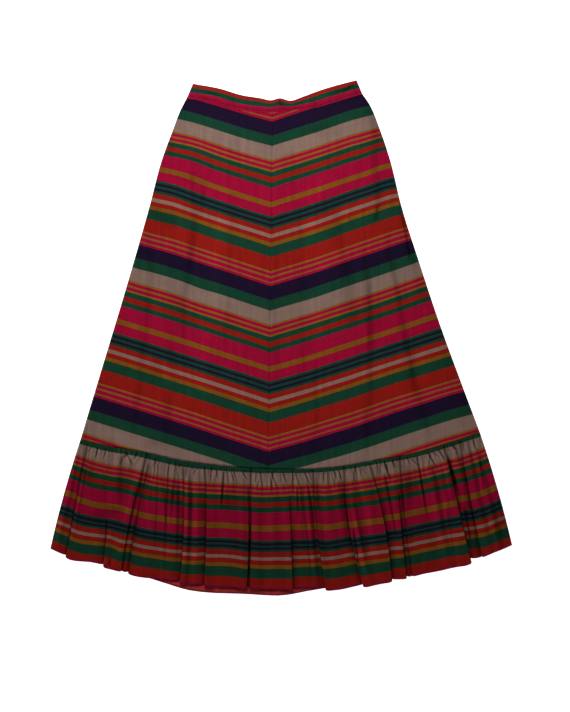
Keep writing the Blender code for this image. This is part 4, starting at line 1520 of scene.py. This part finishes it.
# The pull ends this far below the top of the zip
PULL_MARGIN = 2.8
WORN_EDGE = 0.15


def make_zip(tree, tape_finish, coil_finish, metal):
    """The closed zip on the inside of the back: woven tapes, coil and slider."""
    low_y = ZIP_TOP - ZIP_LENGTH
    beside = np.linspace(-ZIP_WIDTH / 2, ZIP_WIDTH / 2, TAPE_COLUMNS)
    y = np.linspace(ZIP_TOP, low_y, TAPE_ROWS)
    grid = np.zeros((len(y), len(beside), 3))
    grid[..., 0] = centre_x(BACK_CENTRE, y)[:, None] + beside
    grid[..., 1] = y[:, None]
    flat_share = 1 - bell(np.abs(beside) - ZIP_WIDTH / 2, TAPE_CURL_REACH)
    grid[..., 2] = ZIP_FLOOR + TAPE_LIFT + TAPE_CURL * flat_share
    tape = cloth_piece("zip_tape", grid, grid[..., :2], CLOTH, tape_finish)
    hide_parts("back_zip")
    y = np.linspace(low_y + SLIDER_LENGTH, ZIP_TOP - SLIDER_LENGTH - PULL_LENGTH, COIL_POINTS)
    height = ZIP_FLOOR + TAPE_LIFT + CLOTH / 2 + COIL_LIFT
    line = np.column_stack([centre_x(BACK_CENTRE, y), y, np.full(COIL_POINTS, height)])
    teeth = set_along("zip_coil", tree, line, TOOTH_PITCH, TOOTH_SIZE, coil_finish)
    slider = make_slider(metal)
    for piece, slot in ((tape, "zip_tape"), (teeth, "zip_tape"), (slider, "zip_metal")):
        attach(piece, "root")
    return tape


def solid_plate(outline, low, high):
    """Points and faces of a flat plate with this outline, closed all round."""
    count = len(outline)
    points = [(x, y, z) for z in (low, high) for x, y in outline]
    faces = [tuple(range(count))[::-1], tuple(range(count, 2 * count))]
    faces += [(i, (i + 1) % count, count + (i + 1) % count, count + i) for i in range(count)]
    return points, faces


def rounded(width, length, corner, start_y, steps=4):
    """The outline of a rectangle with round corners, on the zip's line, starting at start_y."""
    outline = []
    for corner_x, corner_y, turn in (
        (width / 2 - corner, start_y + length - corner, 0),
        (-width / 2 + corner, start_y + length - corner, 1),
        (-width / 2 + corner, start_y + corner, 2),
        (width / 2 - corner, start_y + corner, 3),
    ):
        for step in range(steps + 1):
            angle = math.pi / 2 * (turn + step / steps)
            outline.append((corner_x + corner * math.cos(angle), corner_y + corner * math.sin(angle)))
    return outline


def make_slider(metal):
    """The slider: two plates joined by a post, a bridge over the top and a short pull laid upwards."""
    start = ZIP_TOP - SLIDER_LENGTH - PULL_LENGTH + GAP
    pull_start = start + SLIDER_LENGTH - PULL_PLATE.end
    pull_length = ZIP_TOP - PULL_MARGIN - pull_start
    outlines = []
    for part in SLIDER_PLATES:
        outlines.append(rounded(part.width, SLIDER_LENGTH - 2 * part.end, part.corner, start + part.end))
    outlines.append(rounded(PULL_PLATE.width, pull_length, PULL_PLATE.corner, pull_start))
    low = ZIP_FLOOR + CAD_CLOTH + GAP
    points, faces = [], []
    for part, outline in zip([*SLIDER_PLATES, PULL_PLATE], outlines):
        part_points, part_faces = solid_plate(outline, low + part.bottom, low + part.top)
        faces += [tuple(i + len(points) for i in face) for face in part_faces]
        points += part_points
    points = [(x + float(centre_x(BACK_CENTRE, y)), y, z) for x, y, z in points]
    slider = mesh_piece("zip_slider", points, faces, metal)
    slider.data.shade_flat()
    bevel = slider.modifiers.new("worn_edges", "BEVEL")
    bevel.width = WORN_EDGE * METRES
    bevel.segments = 2
    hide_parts("back_zip_slider")
    return slider


# Stage

FLOOR_HALF = 6000.0
FLOOR_LEVEL = -0.4
WALL_HEIGHT = 2300.0
WALL_GLOW = 0.3
FLOOR_GLOW = 1.05
# The lamp's place, aim and size are in metres, and its power is in watts
KEY_PLACE = (-0.4, 1.3, 1.4)
KEY_AIM = (0.0, 0.0, 0.0)
KEY_POWER = 21.0
KEY_SIZE = 0.9
SKY_STRENGTH = 0.015
WHITE = (1.0, 1.0, 1.0, 1.0)
PAPER = (0.9, 0.9, 0.9, 1.0)


def glowing_paper(name, glow_strength):
    """White studio paper, lit from behind as on a light table, so that the skirt stands on white."""
    material, tree = new_material(name)
    matt = add_node(tree, "ShaderNodeBsdfDiffuse", inputs={"Color": PAPER})
    glow = add_node(tree, "ShaderNodeEmission", inputs={"Color": WHITE, "Strength": glow_strength})
    both = add_node(tree, "ShaderNodeAddShader", inputs={0: matt.outputs[0], 1: glow.outputs[0]})
    finish_material(tree, both)
    return material


def make_floor():
    """The white paper under the skirt, and a low pale wall of it all round, far off."""
    corners = [(x * FLOOR_HALF, y * FLOOR_HALF, FLOOR_LEVEL) for x, y in ((-1, -1), (1, -1), (1, 1), (-1, 1))]
    mesh_piece("floor", corners, [(0, 1, 2, 3)], glowing_paper("white_paper", FLOOR_GLOW))
    tops = [(x, y, WALL_HEIGHT) for x, y, _ in corners]
    sides = [(i, 4 + i, 4 + (i + 1) % 4, (i + 1) % 4) for i in range(4)]
    wall = mesh_piece("backdrop", corners + tops, sides, glowing_paper("pale_paper", WALL_GLOW))
    wall.data.shade_flat()


def make_light():
    """One large soft box beyond the waist and a weak even sky.

    The light falls off towards the hem, as in the photograph.
    """
    lamp = bpy.data.lights.new("soft_box", "AREA")
    lamp.shape = "SQUARE"
    lamp.size = KEY_SIZE
    lamp.energy = KEY_POWER
    box = put_in_scene("soft_box", lamp)
    box.location = KEY_PLACE
    box.rotation_euler = (Vector(KEY_AIM) - Vector(KEY_PLACE)).to_track_quat("-Z", "Y").to_euler()
    world = bpy.data.worlds.new("studio")
    world.use_nodes = True
    sky = world.node_tree.nodes["Background"].inputs
    sky["Color"].default_value = WHITE
    sky["Strength"].default_value = SKY_STRENGTH
    bpy.context.scene.world = world
    bpy.context.scene.view_settings.view_transform = "Standard"


def make_camera():
    """The camera straight above, square on."""
    lens = bpy.data.cameras.new("camera")
    lens.sensor_width = SENSOR
    lens.lens = SENSOR * CAMERA_HEIGHT / (max(IMAGE_SIZE) * MM_PER_PIXEL)
    camera = put_in_scene("camera", lens)
    camera.location = [place * METRES for place in (*VIEW_CENTRE, CAMERA_HEIGHT)]
    bpy.context.scene.camera = camera


def main():
    make_floor()
    make_light()
    make_camera()
    panel_cotton = striped_cotton("striped_cotton_bias", PANEL_STRIPES, True)
    ruffle_cotton = striped_cotton("striped_cotton_ruffle", RUFFLE_STRIPES, False)
    # The back ruffle's cloth, with paler yarns that are partly painted light
    inside_cotton_with_painted_light = striped_cotton("striped_cotton_inside_painted_light", RUFFLE_STRIPES, False, INSIDE_YARN_WITH_PAINTED_LIGHT)
    band_cotton = striped_cotton("striped_cotton_waistband", BAND_STRIPES, False)
    # Dark thread for the topstitching, which also stands for painted shade in the stitch holes
    dark_thread_and_shade = thread("dark_sewing_thread_and_shade", "#14080E")
    tape_finish = woven_tape("zip_tape", "#3A1A22")
    coil_finish = thread("zip_coil_nylon", "#44202A")
    metal = lacquered_zinc("lacquered_zinc", "#8A6A3C")
    panels = make_panels(panel_cotton)
    bands, band_points = make_waistbands(band_cotton)
    front_ruffle = make_front_ruffle(ruffle_cotton)
    back_ruffle = make_back_ruffle(inside_cotton_with_painted_light)
    tree = row_tree()
    make_stitches(tree, band_points, dark_thread_and_shade)
    tape = make_zip(tree, tape_finish, coil_finish, metal)


main()
